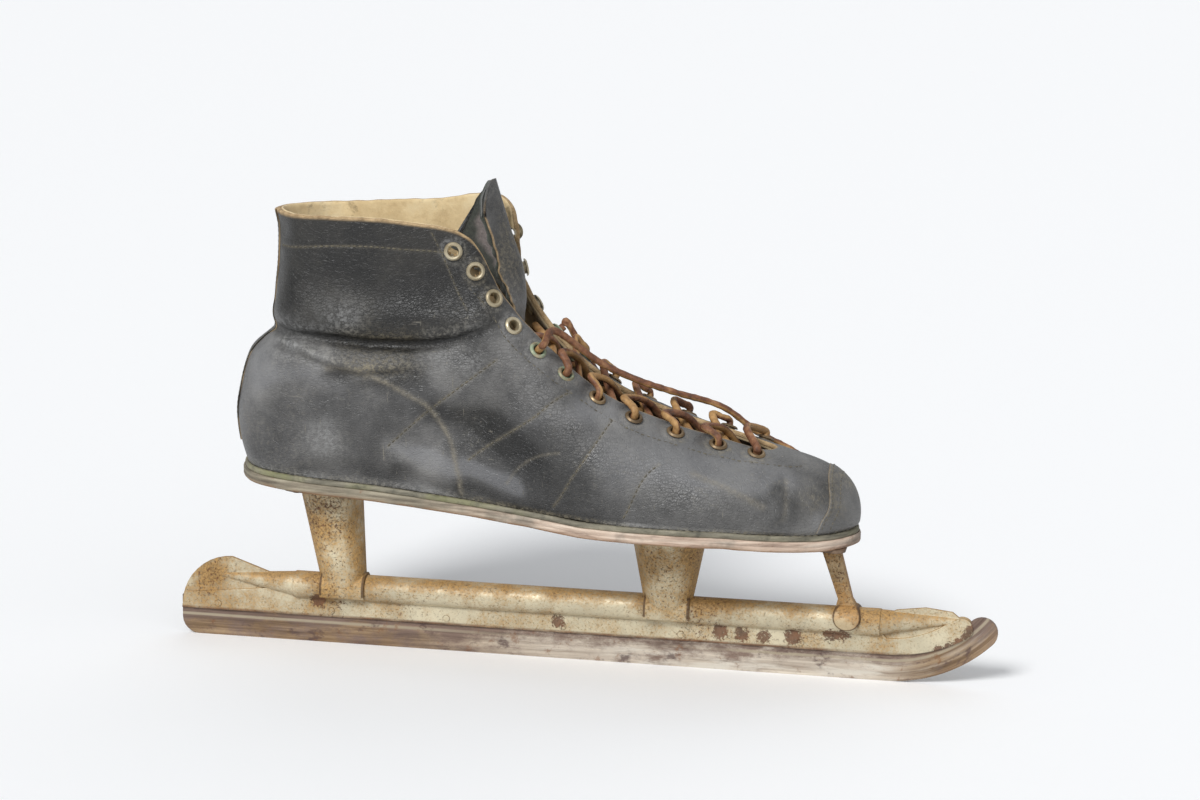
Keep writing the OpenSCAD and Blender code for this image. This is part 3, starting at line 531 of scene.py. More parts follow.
def over_gap(u, share, rise):
    return lerp(upper(u, 1.0), upper(LOOP - u, 1.0), share) + np.array([0.0, 0.0, rise])


def end_route(side, first, over, down):
    out = eyelet_frame(side, LACED_FROM)[1]
    points = [first + height * out for height in END_START]
    points += [over_gap(*place) for place in over]
    return np.array(points + [layer(LOOP - u, t, lift) for u, t, lift in down])


# Tongue: middle line of its outer face, as shares under the vamp, then places from the heel and the throat's
# end, then places from the hinge. Last, how much wider than half the throat it is at each of them
TONGUE_UNDER, TONGUE_DEEP = (0.8, 0.9), -WALL - 0.4
TONGUE_LOW = ((243.0, -6.2), (225.0, -5.2), (199.0, 1.5), (171.0, 13.0), (152.0, 26.0), (139.0, 34.5),
              (130.5, 43.0))
TONGUE_HIGH = ((0.2, 0.6), (0.8, 10.0), (-0.8, 24.0), (-6.0, 40.0), (-13.0, COLLAR_H + 17.0 - HINGE_Z))
LOW_HALF = [0.5 * THROAT_W + more for more in (0.5, 0.5, 0.5, 0.5, 0.5, 0.5, -1.0, -3.5, -5.2)]
HIGH_HALF = [0.5 * THROAT_W + more for more in (-5.5, -3.7, -1.7, 0.2, 1.0)]


def tongue_line():
    """The line's low part and its flap, each as x and z."""
    under = [layer(float(HALF), t, TONGUE_DEEP)[[0, 2]] for t in TONGUE_UNDER]
    low = np.concatenate([under, np.array(TONGUE_LOW) + (HEEL_X, THROAT_END_Z)])
    high = np.array(TONGUE_HIGH) + (HINGE_X, HINGE_Z)
    along = unit(np.gradient(high, axis=0))
    return low, high + ROLL_R * np.stack([along[:, 1], -along[:, 0]], -1)


# Meshes
def add_piece(name, points, faces, material, slot, body=BOOT, stands_for=(), masks=None):
    """One smooth mesh from points in millimetres, with its float masks, riding on a body."""
    mesh = bpy.data.meshes.new(name)
    mesh.from_pydata((np.asarray(points).reshape(-1, 3) * MM).tolist(), [], faces)
    mesh.polygons.foreach_set("use_smooth", [True] * len(mesh.polygons))
    for label, values in (masks or {}).items():
        mask = mesh.attributes.new(label, "FLOAT", "POINT")
        mask.data.foreach_set("value", np.asarray(values, np.float32).reshape(-1))
    mesh.materials.append(material)
    mesh.update()
    piece = bpy.data.objects.new(name, mesh)
    bpy.context.scene.collection.objects.link(piece)
    if body:
        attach(piece, body)
    if stands_for:
        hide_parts(*stands_for)
    return piece


def ring_quads(rows, columns):
    """Quads over rings of points, each joined to the next ring."""
    i = np.arange(rows - 1)[:, None]
    j = np.arange(columns)[None, :]
    k = (j + 1) % columns
    corners = (i * columns + j, (i + 1) * columns + j, (i + 1) * columns + k, i * columns + k)
    return np.stack(np.broadcast_arrays(*corners), -1).reshape(-1, 4)


def closed_rings(points, turned=False):
    """Faces of a tube of rings with both ends closed."""
    rows, columns = points.shape[:2]
    quads = ring_quads(rows, columns)
    ends = [list(range(columns)), list(range((rows - 1) * columns, rows * columns))[::-1]]
    return (quads[:, ::-1] if turned else quads).tolist() + ends


# Waves of a ripple: their count, least and most pace, gain
RIPPLE_WAVES, RIPPLE_PACE, RIPPLE_GAIN = 7, (0.6, 1.5), 0.6
MOST_WEAR = 0.8


def ripple(points, size, seed):
    """Smooth unevenness between about -1 and 1, with bumps of a given size in millimetres."""
    chance = np.random.RandomState(seed)
    total = np.zeros(points.shape[:-1])
    for _ in range(RIPPLE_WAVES):
        way = chance.normal(size=3)
        way *= chance.uniform(*RIPPLE_PACE) * math.pi / (size * np.linalg.norm(way))
        total += np.sin(points @ way + chance.uniform(0.0, 2.0 * math.pi))
    return total / math.sqrt(RIPPLE_WAVES * 0.5) * RIPPLE_GAIN


def uneven(points, *kinds):
    """Sum of ripples, each given as height, size and seed."""
    return sum(height * ripple(points, size, seed) for height, size, seed in kinds)


def patchy_wear(points, middle, kind):
    return np.clip(middle + uneven(points, kind), 0.0, MOST_WEAR)


def leather_masks(shape, **given):
    """Masks of the black leather, zero where none is given."""
    names = ("seam", "fold", "wear", "torn", "tone", "edge")
    return {name: np.zeros(shape) + given.get(name, 0.0) for name in names}


def frames_along(path):
    """Two steady cross directions along a path."""
    along = unit(np.gradient(path, axis=0))
    first = np.cross(along[0], [1.0, 0.0, 0.0] if abs(along[0][0]) < 0.8 else [0.0, 1.0, 0.0])
    across = [unit(first)]
    for way in along[1:]:
        across.append(unit(across[-1] - way * (across[-1] @ way)))
    across = np.array(across)
    return across, np.cross(along, across)


def run_along(path):
    """Length of a path up to each of its points."""
    return np.concatenate([[0.0], np.cumsum(np.linalg.norm(np.diff(path, axis=0), axis=1))])


# Thong of the lace: sides, flatness, then share and pace of its two wobbles
THONG_SIDES, THONG_FLAT = 14, 0.1
WOBBLE, WOBBLE_PACE, TWIST, TWIST_PACE = 0.05, 1.1, 0.03, 2.7


def thong(path, seed, turns):
    """Uneven round thong along a path, with a mask for its flesh side."""
    across, other = frames_along(path)
    angle = np.linspace(0.0, 2.0 * math.pi, THONG_SIDES, endpoint=False)
    spin = np.linspace(0.0, turns * 2.0 * math.pi, len(path))[:, None]
    squash = 1.0 - THONG_FLAT * (1.0 + np.cos(2.0 * (angle + spin)))
    flow = run_along(path)[:, None]
    wobble = WOBBLE * np.sin(flow * WOBBLE_PACE + seed) + TWIST * np.sin(flow * TWIST_PACE + 2.0 * angle)
    reach = LACE_R * np.minimum(squash + wobble, 1.0)
    rings = (path[:, None, :] + (reach * np.cos(angle))[..., None] * across[:, None, :]
             + (reach * np.sin(angle))[..., None] * other[:, None, :])
    return rings, closed_rings(rings), 0.5 + 0.5 * np.cos(angle + spin)


# One stitch: sides of the thread, then its shape as shares of its length and radius
STITCH_SIDES = 6
STITCH_SHAPE = [(-0.5, 0.05), (-0.42, 0.75), (0.0, 1.0), (0.42, 0.75), (0.5, 0.05)]
STITCH_SINK, STITCH_AHEAD = 0.15, 0.3


def stitches(path, ups, pitch, length, radius):
    """Short sunk thread ends along a path of points with their outward ways."""
    flow = run_along(path)

    def read(values, at):
        return np.array([np.interp(at, flow, values[:, axis]) for axis in range(3)])

    points, faces = [], []
    for number in range(int((flow[-1] - length) / pitch) + 1):
        at = 0.5 * length + number * pitch
        middle, up = read(path, at), read(ups, at)
        way = unit(read(path, at + STITCH_AHEAD) - middle)
        side = np.cross(up, way)
        faces += (ring_quads(len(STITCH_SHAPE), STITCH_SIDES) + len(points)).tolist()
        for reach, wide in STITCH_SHAPE:
            for turn in np.arange(STITCH_SIDES) * 2.0 * math.pi / STITCH_SIDES:
                points.append(middle + way * (reach * length) + radius * wide * (
                    side * math.cos(turn) + up * (math.sin(turn) - STITCH_SINK)))
    return points, faces


def gather(parts):
    """Several point and face lists as one."""
    points, faces = [], []
    for some_points, some_faces in parts:
        faces += [[i + len(points) for i in face] for face in some_faces]
        points += list(some_points)
    return points, faces


# Lines on the right side of the boot, as stations and height shares. After each: depth and width of its
# groove, strength and width of its pale rub, and whether it is stitched
SIDE_LINES = {
    "collar": ([(0.6, 0.888), (1.03, 0.89), (1.75, 0.892), (2.34, 0.896), (3.03, 0.898), (3.54, 0.906),
                (3.91, 0.912)], 0.25, 0.8, 0.55, 0.9, True),
    "throat": ([(3.45, 0.974), (3.66, 0.876), (3.83, 0.794), (3.96, 0.73)], 0.25, 0.8, 0.35, 0.9, True),
    "counter": ([(2.2, 0.447), (2.55, 0.446), (2.89, 0.432), (3.27, 0.39), (3.51, 0.356), (3.75, 0.26),
                 (3.84, 0.128), (3.87, 0.032)], -0.55, 1.6, 0.8, 1.9, False),
    "strap_rear": ([(3.02, 0.186), (3.26, 0.274), (3.51, 0.356), (3.9, 0.462), (4.59, 0.632)],
                   0.3, 0.9, 0.6, 1.1, True),
    "strap_mid": ([(3.97, 0.194), (4.21, 0.264), (4.5, 0.336), (4.86, 0.422), (5.26, 0.52), (6.06, 0.744)],
                  0.3, 0.9, 0.65, 1.1, True),
    "strap_front": ([(5.13, 0.066), (5.47, 0.22), (5.87, 0.37), (6.29, 0.532), (6.8, 0.74)],
                    0.3, 0.9, 0.6, 1.1, True),
    "strap_ball": ([(6.26, 0.062), (6.57, 0.26), (6.9, 0.414), (7.25, 0.528)], 0.25, 0.9, 0.45, 1.1, True),
    "scratch": ([(4.48, 0.136), (4.65, 0.214), (4.89, 0.282), (5.17, 0.332), (5.47, 0.372)],
                0.15, 0.8, 0.6, 0.9, False),
    "toe_crease": ([(9.3, 0.538), (9.01, 0.338), (8.78, 0.154)], 0.9, 2.4, 0.3, 2.0, False),
    "toe_scuff": ([(7.7, 0.5), (8.15, 0.4), (8.5, 0.27)], 0.1, 1.2, 0.5, 2.6, False)}
FACING_LOOKS = (0.3, 0.9, 0.3, 1.0, True)
FACING_FROM, FACING_TO, FACING_POINTS, FACING_INSET = 4.05, 10.2, 26, EYELET_INSET + 9.0
FOLD_LINE = [(0.0, 0.56), (1.02, 0.556), (1.67, 0.55), (2.19, 0.546), (2.71, 0.544), (3.26, 0.564),
             (3.58, 0.582), (3.88, 0.616), (4.24, 0.684), (4.79, 0.822)]
LOW_FOLD = [(0.99, 0.51), (1.64, 0.486), (2.04, 0.462), (2.38, 0.444), (2.64, 0.438), (2.95, 0.452),
            (3.22, 0.474)]
LEFT_FOLD_LIFT = 0.02
# Stations of the two folds: start, rise, end, fall
FOLD_REACH, LOW_FOLD_REACH = (-0.4, 0.9, 3.4, 1.5), (0.7, 0.5, 2.9, 0.6)
# Rolls and creases along the folds, pleats, toe flexing, eyelet rims: height, middle, half width
FOLD_ROLL, FOLD_CREASE, FOLD_LIP = (1.6, 7.0, 6.0), (2.4, 0.0, 2.6), (0.5, -7.0, 4.0)
LOW_ROLL, LOW_CREASE = (0.9, 3.0, 2.6), (1.1, 0.0, 1.8)
PLEATS, FLEXING = (0.22, -2.0, 10.0), (0.3, 8.6, 0.7)
EYELET_SWELL, EYELET_GROOVE, EYELET_RUB = (0.45, 0.0, 5.0), (0.25, 6.5, 1.6), (0.5, 5.2, 1.4)
# Rubs along the folds, and painted shade in their creases: strength, middle, half width
FOLD_RUB, LIP_RUB, LOW_RUB = (0.7, 5.0, 4.0), (0.35, -8.0, 6.0), (0.6, 3.0, 3.0)
FOLD_SHADE_BAND, LOW_FOLD_SHADE_BAND = (1.0, 0.0, 2.4), (0.6, 0.0, 1.6)
# Unevenness of the leather: height, size, seed. Waves of the pleats and of the flexed toe
SLACK = ((0.65, 32.0, 11), (0.22, 12.0, 12))
PLEAT_X, PLEAT_Y, PLEAT_Z, PLEAT_SWAY, FLEX_X, FLEX_Y, FLEX_SWAY = 0.55, 0.4, 0.16, 2.0, 0.42, 0.11, 1.3
# Where the crease sharpens, the toe flexes and the shaft above the fold takes painted shade, as start and
# span
SHARP_LEAST, SHARP_REACH, FLEX_REACH = 0.35, (1.2, 1.2), (0.35, 0.3)
SHAFT_UP, SHAFT_ALONG = (-6.0, 8.0), (4.3, 1.0)
# Height shares over which the relief fades at foot and top, then strength, top and span of the foot's rub
FOOT_FADE, TOP_FADE = 0.04, 0.05
FOOT_RUB, FOOT_RUB_TOP, FOOT_RUB_SPAN = 0.7, 0.045, 0.04
# Tone of the leather, which painted shade lowers and painted highlight raises: base level, most, then share
# of a pale rub's width
LEATHER_TONE, MOST_TONE, RUB_SHARE = 0.9, 1.4, 0.62
# Rubbed patches: station, height share, reach in millimetres, strength
RUBBED = [
    (2.3, 0.174, 9.0, 0.75), (2.36, 0.61, 11.0, 0.7), (1.3, 0.5, 12.0, 0.5), (3.1, 0.17, 7.0, 0.3),
    (1.2, 0.53, 7.0, 0.5), (4.1, 0.56, 8.0, 0.4), (10.3, 0.3, 7.0, 0.4), (9.6, 0.32, 6.0, 0.35),
    (1.0, 0.2, 9.0, 0.3)]
# Patches of painted shade, below zero, and of painted highlight, above it: station, height share, reach,
# strength
LIGHT_AND_SHADE_PATCHES = [
    (4.4, 0.36, 15.0, -0.7), (5.3, 0.26, 16.0, -0.6), (3.2, 0.53, 11.0, -0.7), (4.2, 0.6, 12.0, -0.55),
    (2.4, 0.5, 8.0, -0.5), (9.15, 0.22, 7.0, -0.5), (9.0, 0.45, 6.0, -0.4), (3.1, 0.24, 12.0, -0.4),
    (3.5, 0.1, 9.0, 0.5), (0.9, 0.42, 13.0, 0.45), (0.7, 0.2, 12.0, 0.25), (7.3, 0.55, 20.0, 0.4),
    (8.6, 0.6, 14.0, 0.4), (6.2, 0.4, 14.0, 0.25), (4.6, 0.16, 10.0, 0.3), (5.6, 0.6, 10.0, -0.35),
    (1.6, 0.3, 12.0, -0.3), (6.9, 0.2, 10.0, -0.35), (8.0, 0.2, 10.0, -0.3), (9.5, 0.12, 6.0, 0.5)]
# Soft strokes of painted shade, below zero, and of painted highlight, above it: their points, reach in
# millimetres, strength
LIGHT_AND_SHADE_STROKES = [
    ([(3.03, 0.195), (3.44, 0.165), (3.76, 0.118)], 5.0, 0.6),
    ([(3.15, 0.103), (3.46, 0.077), (3.78, 0.052)], 4.5, -0.7),
    ([(3.96, 0.165), (4.23, 0.143), (4.56, 0.11)], 5.0, 0.7),
    ([(3.89, 0.08), (4.2, 0.07), (4.53, 0.04)], 4.0, -0.7),
    ([(3.56, 0.355), (3.94, 0.357), (4.4, 0.348), (4.56, 0.315)], 6.0, -0.8),
    ([(4.62, 0.005), (5.23, 0.018), (6.15, 0.01)], 4.0, -0.6),
    ([(5.03, 0.458), (5.93, 0.623), (6.85, 0.812)], 8.0, 0.45),
    ([(1.99, 0.03), (2.49, 0.09), (3.03, 0.048)], 6.0, -0.5),
    ([(4.53, 0.302), (4.93, 0.328)], 5.0, -0.5),
    ([(1.18, 0.362), (1.81, 0.42), (2.45, 0.42)], 6.0, 0.35),
    ([(2.25, 0.435), (2.79, 0.42), (3.39, 0.47)], 4.0, -0.45),
    ([(7.85, 0.537), (8.54, 0.525), (9.26, 0.517)], 8.0, 0.5),
    ([(6.61, 0.198), (7.33, 0.173), (8.12, 0.145)], 6.0, -0.3)]
# Hollows, below zero, and swellings of the slack leather: station, height share, reach, height
BULGES = [
    (4.1, 0.36, 10.0, -2.0), (3.33, 0.5, 8.0, -1.0), (3.68, 0.16, 8.0, 1.4), (4.3, 0.14, 9.0, 1.3),
    (4.83, 0.56, 9.0, -1.0), (5.68, 0.55, 12.0, 0.9), (8.9, 0.21, 4.5, 1.0), (9.3, 0.32, 4.0, -0.9),
    (2.65, 0.33, 13.0, 0.9), (1.55, 0.34, 13.0, 0.8), (4.83, 0.31, 8.0, -1.2), (5.98, 0.32, 11.0, 0.9),
    (7.05, 0.48, 11.0, -0.6), (8.0, 0.35, 11.0, 0.7), (3.4, 0.35, 7.0, -0.8), (6.6, 0.2, 9.0, -0.8),
    (1.75, 0.48, 7.0, 0.8), (5.3, 0.1, 8.0, -0.7), (2.4, 0.75, 16.0, -0.8), (1.2, 0.72, 12.0, 0.5)]
# Torn hole by the ankle fold: its spot, reach along and up, depth, share of it on the left side
TORN, TORN_LONG, TORN_TALL, TORN_DEEP, TORN_LEFT = (2.37, 0.425), 6.0, 2.6, 0.8, 0.4
LINE_STEPS, STROKE_STEPS, LINE_BATCH = 24, 8, 8
# Shifts of the left side's lines: stations and height shares, and how fast they change from line to line
SHIFT_U, SHIFT_T, SHIFT_U_PACE, SHIFT_T_PACE, LEAST_T, MOST_T = 0.12, 0.018, 2.1, 1.7, 0.01, 0.99


def mirrored(points, side, number):
    """A right-side line on the wanted side; the left one differs a little."""
    if side < 0:
        return np.array(points)
    u, t = np.array(points).T
    u = u + SHIFT_U * math.sin(SHIFT_U_PACE * number + 1.0)
    t = t + SHIFT_T * math.cos(SHIFT_T_PACE * number)
    return np.stack([LOOP - u, np.clip(t, LEAST_T, MOST_T)], -1)


def dense_line(points, steps):
    return on_line(points, np.linspace(0.0, len(points) - 1.0, steps * (len(points) - 1)))


def facing_line(side):
    """Seam beside the eyelet row."""
    stations = np.linspace(FACING_FROM, FACING_TO, FACING_POINTS)
    heights = 1.0 - FACING_INSET / edge_pace(stations)
    return np.stack([stations if side < 0 else LOOP - stations, heights], -1)


def distance_to(points, line):
    """Distance of each point to a dense line in space."""
    best = np.full(points.shape[:-1], np.inf)
    for start in range(0, len(line), LINE_BATCH):
        some = line[start:start + LINE_BATCH]
        best = np.minimum(best, np.linalg.norm(points[..., None, :] - some, axis=-1).min(-1))
    return best


def side_lines(side):
    """All lines of one side: stations and height shares, space points, looks."""
    lines = [(dense_line(mirrored(points, side, number), LINE_STEPS), looks)
             for number, (points, *looks) in enumerate(SIDE_LINES.values())]
    lines.append((facing_line(side), FACING_LOOKS))
    return [(path, upper(*path.T), looks) for path, looks in lines]


def patches_on(table, side, place):
    """Each patch of a table as its strength round its spot."""
    for number, (station, share, reach, strength) in enumerate(table):
        spot = mirrored([(station, share)], side, number)[0]
        yield strength * bell(np.linalg.norm(place - upper(*spot), axis=-1) / reach)


def strokes_on(table, side, place):
    """Each stroke of a table as its strength round its line."""
    for number, (points, reach, strength) in enumerate(table):
        path = dense_line(mirrored(points, side, number), STROKE_STEPS)
        yield strength * bell(distance_to(place, upper(*path.T)) / reach)


def roll(gap, height, middle, wide):
    return height * bell((gap - middle) / wide)


def relief(side, u, t, fine):
    """Height of the worn leather over the smooth form, in millimetres, and its masks."""
    place = upper(u, t)
    h = station_half(u)
    rise = np.linalg.norm(upper_rise(u, t), axis=-1) / (2.0 * RISE_STEP)
    lift = 0.0 if side < 0 else LEFT_FOLD_LIFT
    above, low = ((t - lift - np.interp(h, *np.array(line).T)) * rise for line in (FOLD_LINE, LOW_FOLD))
    reach, low_reach = window(h, *FOLD_REACH), window(h, *LOW_FOLD_REACH)
    sharp = lerp(SHARP_LEAST, 1.0, climb(h, *SHARP_REACH))
    height = uneven(place, *SLACK)
    height += reach * (roll(above, *FOLD_ROLL) - sharp * roll(above, *FOLD_CREASE) + roll(above, *FOLD_LIP))
    height += low_reach * (roll(low, *LOW_ROLL) - roll(low, *LOW_CREASE))
    x, y, z = np.moveaxis(place, -1, 0)
    pleat = np.sin(x * PLEAT_X + PLEAT_SWAY * np.sin(z * PLEAT_Z) + PLEAT_Y * y)
    height += pleat * reach * roll(above, *PLEATS)
    flex = np.sin(x * FLEX_X + FLEX_SWAY * np.sin(y * FLEX_Y))
    height += flex * roll(h, *FLEXING) * climb(t, *FLEX_REACH)
    for swell in patches_on(BULGES, side, place):
        height += swell
    height *= ease(t / FOOT_FADE) * ease((1.0 - t) / TOP_FADE)
    if not fine:
        return height, {}
    # Painted shade in the creases of the two folds
    fold = reach * sharp * roll(above, *FOLD_SHADE_BAND) + low_reach * roll(low, *LOW_FOLD_SHADE_BAND)
    wear = reach * (roll(above, *FOLD_RUB) + roll(above, *LIP_RUB)) + low_reach * roll(low, *LOW_RUB)
    wear = np.clip(wear, 0.0, 1.0)
    # Painted shade: the tone falls to zero on the shaft above the fold
    tone = LEATHER_TONE - LEATHER_TONE * climb(above, *SHAFT_UP) * (1.0 - climb(h, *SHAFT_ALONG))
    seam = np.zeros(u.shape)
    for _, line, (groove, wide, pale, pale_wide, _) in side_lines(side):
        gap = distance_to(place, line)
        height -= groove * bell(gap / wide)
        seam = np.maximum(seam, pale * bell(gap / (RUB_SHARE * pale_wide)))
    for rub in patches_on(RUBBED, side, place):
        wear = np.maximum(wear, rub)
    # Patches and strokes of painted shade and painted highlight move the tone
    for shade in (*patches_on(LIGHT_AND_SHADE_PATCHES, side, place), *strokes_on(LIGHT_AND_SHADE_STROKES, side, place)):
        tone = np.clip(tone + shade, 0.0, MOST_TONE)
    for number in range(1, EYELET_COUNT + 1):
        gap = np.linalg.norm(place - eyelet_frame(side, number)[0], axis=-1)
        height += roll(gap, *EYELET_SWELL) - roll(gap, *EYELET_GROOVE)
        wear = np.maximum(wear, roll(gap, *EYELET_RUB))
    gap = place - upper(*mirrored([TORN], side, 3)[0])
    torn = bell(np.hypot(gap[..., 0] / TORN_LONG, gap[..., 2] / TORN_TALL)) * (1.0 if side < 0 else TORN_LEFT)
    height -= TORN_DEEP * torn
    wear = np.maximum(wear, FOOT_RUB * ease((FOOT_RUB_TOP - t) / FOOT_RUB_SPAN))
    return height, {"seam": seam, "fold": fold, "wear": wear, "torn": torn, "tone": tone}


# Mesh counts of a ply: columns, rows outside, rows inside. The raw edge has three rows of its own:
# share of the way inward, share of its roundness
LEATHER_COUNTS, LINING_COUNTS = (540, 190, 36), (240, 40, 90)
COUNTER_COUNTS, STRIP_COUNTS = (120, 30, 30), (15, 140, 140)
EDGE_IN, EDGE_ROUND = np.array([0.2, 0.5, 0.8]), np.array([0.7, 1.0, 0.7])
EDGE_SHARE, FRAY = 0.012, (0.35, 5.0, 21)
LEATHER_ROUND, THIN_ROUND = 0.5, 0.3
COUNTER_REACH, COUNTER_TOP, STRIP_HALF, STRIP_FOOT = 8.0 / 3.0, 6.0 / 14.0, 1.0 / 3.0, 1.0 / 14.0
STRIP_LIFTS, STRIP_SEAM, STRIP_TONE = (0.7, -0.4), 0.9, 0.5
HOLE_R, HOLE_DEEP = 2.75, 8.0


def wall_rings(side, counts, lifts, top_round, fine=False, heights=(0.0, 1.0), stations=None):
    """Ply of the upper as open-ended rings: outside up, round the raw edge, inside down."""
    columns, rows_out, rows_in = counts
    lift_out, lift_in = lifts
    foot, top = heights
    first, last = stations or ((0.0, HALF) if side < 0 else (HALF, LOOP))
    shares = np.concatenate([
        np.linspace(foot, top, rows_out), np.full(3, top), np.linspace(top, foot, rows_in)])
    u, t = np.meshgrid(np.linspace(first, last, columns), shares, indexing="ij")
    depth = np.full(len(shares), lift_out)
    depth[rows_out:rows_out + 3] = lift_out + (lift_in - lift_out) * EDGE_IN
    depth[rows_out + 3:] = lift_in
    push = np.zeros(len(shares))
    push[rows_out:rows_out + 3] = top_round * EDGE_ROUND
    height, masks = relief(side, u, t, fine)
    place = upper(u, t)
    up = unit(place - upper(u, t - RISE_STEP))
    edge = ease((t - top + EDGE_SHARE) / EDGE_SHARE)
    frayed = top_round * uneven(place, FRAY) * edge
    points = place + (height + depth)[..., None] * upper_out(u, t) + (push + frayed)[..., None] * up
    masks["edge"] = np.maximum(edge, 1.0 * (np.arange(len(shares)) >= rows_out))
    return points, masks


def cut_eyelets(side, points):
    """Faces of a ply's rings, without the eyelet holes."""
    quads = ring_quads(*points.shape[:2])
    middles = points.reshape(-1, 3)[quads].mean(1)
    keep = np.ones(len(quads), bool)
    for number in range(1, EYELET_COUNT + 1):
        p, n, _, _ = eyelet_frame(side, number)
        gap = middles - p
        along = gap @ n
        off = np.linalg.norm(gap - along[:, None] * n, axis=1)
        keep &= ~((off < HOLE_R) & (np.abs(along) < HOLE_DEEP))
    return quads[keep][:, ::-1].tolist()


def make_upper(leather, suede):
    for side, name in SIDES:
        points, masks = wall_rings(side, LEATHER_COUNTS, (0.0, -LEATHER_T), LEATHER_ROUND, fine=True)
        add_piece("upper_" + name, points, cut_eyelets(side, points), leather, "black_leather",
                  stands_for=("quarter_" + name,), masks=masks)
        points, masks = wall_rings(side, LINING_COUNTS, (-LEATHER_T - PLY_GAP, -WALL), THIN_ROUND)
        add_piece("inner_lining_" + name, points, cut_eyelets(side, points), suede, "tan_leather",
                  stands_for=("lining_" + name,), masks=masks)


def make_counter(suede):
    outer = -WALL - PLY_GAP
    points, masks = wall_rings(-1, COUNTER_COUNTS, (outer, outer - COUNTER_T), THIN_ROUND,
                               heights=(0.0, COUNTER_TOP), stations=(-COUNTER_REACH, COUNTER_REACH))
    add_piece("heel_stiffener", points, closed_rings(points, True), suede, "tan_leather",
              stands_for=("heel_counter",), masks=masks)


def make_backstay(leather):
    points, masks = wall_rings(-1, STRIP_COUNTS, STRIP_LIFTS, THIN_ROUND, heights=(STRIP_FOOT, 1.0),
                               stations=(-STRIP_HALF, STRIP_HALF))
    looks = leather_masks(points.shape[:2], tone=STRIP_TONE, **masks)
    looks["seam"][[0, -1]] = STRIP_SEAM
    add_piece("back_strip", points, closed_rings(points, True), leather, "black_leather",
              stands_for=("backstay",), masks=looks)


CAP_EDGE = [(9.45, 0.02), (9.59, 0.118), (9.85, 0.216), (10.05, 0.33), (10.19, 0.424), (10.5, 0.55),
            (11.0, 0.62)]
CAP_T, CAP_UNDER, CAP_TURN, CAP_THIN, CAP_THIN_SHARE = 0.75, -0.3, (0.1, -0.1), 0.45, 0.05
CAP_COLUMNS, CAP_ROWS, CAP_FOOT_U, CAP_FOOT_T = 121, 40, 9.5, 0.02
CAP_TONE, CAP_RUB, CAP_RUB_FROM, CAP_RAW = 0.85, 0.4, 0.93, 0.3
CAP_WEAR, CAP_WEAR_REACH = (0.35, (0.5, 12.0, 32)), (0.05, 0.2)


def cap_edge(count):
    """Edge of the toe cap, over from the right side to the left."""
    right = np.array(CAP_EDGE)
    left = np.stack([LOOP - right[-2::-1, 0], right[-2::-1, 1]], -1)
    return on_line(np.concatenate([right, left]), np.linspace(0.0, 2.0 * len(CAP_EDGE) - 2.0, count))


def toe_relief(u, t):
    """Height of the leather under the toe cap, which crosses from the right side to the left."""
    return np.where(u <= HALF, relief(-1, u, t, False)[0], relief(1, u, t, False)[0])


def make_toe_cap(leather):
    share = np.linspace(0.0, 1.0, CAP_ROWS)
    along = np.linspace(CAP_FOOT_U, LOOP - CAP_FOOT_U, CAP_COLUMNS)
    foot = np.stack([along, np.full(CAP_COLUMNS, CAP_FOOT_T)], -1)
    spot = foot[:, None, :] + (cap_edge(CAP_COLUMNS) - foot)[:, None, :] * share[None, :, None]
    spot = np.concatenate([spot, np.repeat(spot[:, -1:], 2, 1), spot[:, ::-4]], 1)
    u, t = spot[..., 0], spot[..., 1]
    rows = spot.shape[1]
    depth = np.full(rows, CAP_UNDER)
    depth[:CAP_ROWS] = CAP_T * np.clip((1.0 - share) / CAP_THIN_SHARE, CAP_THIN, 1.0)
    depth[CAP_ROWS:CAP_ROWS + 2] = CAP_TURN
    place = upper(u, t)
    points = place + (toe_relief(u, t) + depth)[..., None] * upper_out(u, t)
    rub = np.append(share, np.zeros(rows - CAP_ROWS)) > CAP_RUB_FROM
    wear = patchy_wear(place, *CAP_WEAR) * climb(t, *CAP_WEAR_REACH)
    masks = leather_masks(u.shape, seam=CAP_RUB * rub, wear=wear, tone=CAP_TONE,
                          edge=CAP_RAW * (np.arange(rows) >= CAP_ROWS - 1))
    add_piece("toe_box_cap", points, closed_rings(points, True), leather, "black_leather",
              stands_for=("toe_cap",), masks=masks)


# Stitches: pitch, length, radius. Then the lines of the cap's two rows and of the back strip's
SEAM_STITCH, CAP_STITCH, STRIP_STITCH = (2.6, 1.7, 0.28), (2.2, 1.5, 0.24), (2.4, 1.6, 0.24)
SEAM_LIFT, STRIP_LIFT = 0.2, 0.62
CAP_ROW_SHARES, CAP_ROW_POINTS, CAP_ROW_CUT = (0.05, 0.21), 240, 6
STRIP_ROWS, STRIP_ROW_FROM, STRIP_ROW_TO, STRIP_ROW_POINTS = (-0.26, 0.26), 0.09, 0.985, 160


def stitch_row(u, t, lift, looks, kept=slice(None)):
    out = upper_out(u, t)
    line = upper(u, t) + lift[:, None] * out
    return stitches(line[kept], out[kept], *looks)


def make_stitching(thread):
    for side, name in SIDES:
        rows = []
        for path, _, looks in side_lines(side):
            if looks[-1]:
                height, _ = relief(side, *path.T, True)
                rows.append(stitch_row(*path.T, height + SEAM_LIFT, SEAM_STITCH))
        add_piece("seam_thread_" + name, *gather(rows), thread, "black_leather")
    rows = []
    inner = slice(CAP_ROW_CUT, -CAP_ROW_CUT)
    for share in CAP_ROW_SHARES:
        edge = cap_edge(CAP_ROW_POINTS)
        u, t = (edge + (np.array([HALF, CAP_FOOT_T]) - edge) * share).T
        rows.append(stitch_row(u, t, CAP_T + toe_relief(u, t), CAP_STITCH, inner))
    t = np.linspace(STRIP_ROW_FROM, STRIP_ROW_TO, STRIP_ROW_POINTS)
    for station in STRIP_ROWS:
        u = np.full(t.shape, station)
        rows.append(stitch_row(u, t, STRIP_LIFT + relief(-1, u, t, False)[0], STRIP_STITCH))
    add_piece("overlay_thread", *gather(rows), thread, "black_leather")


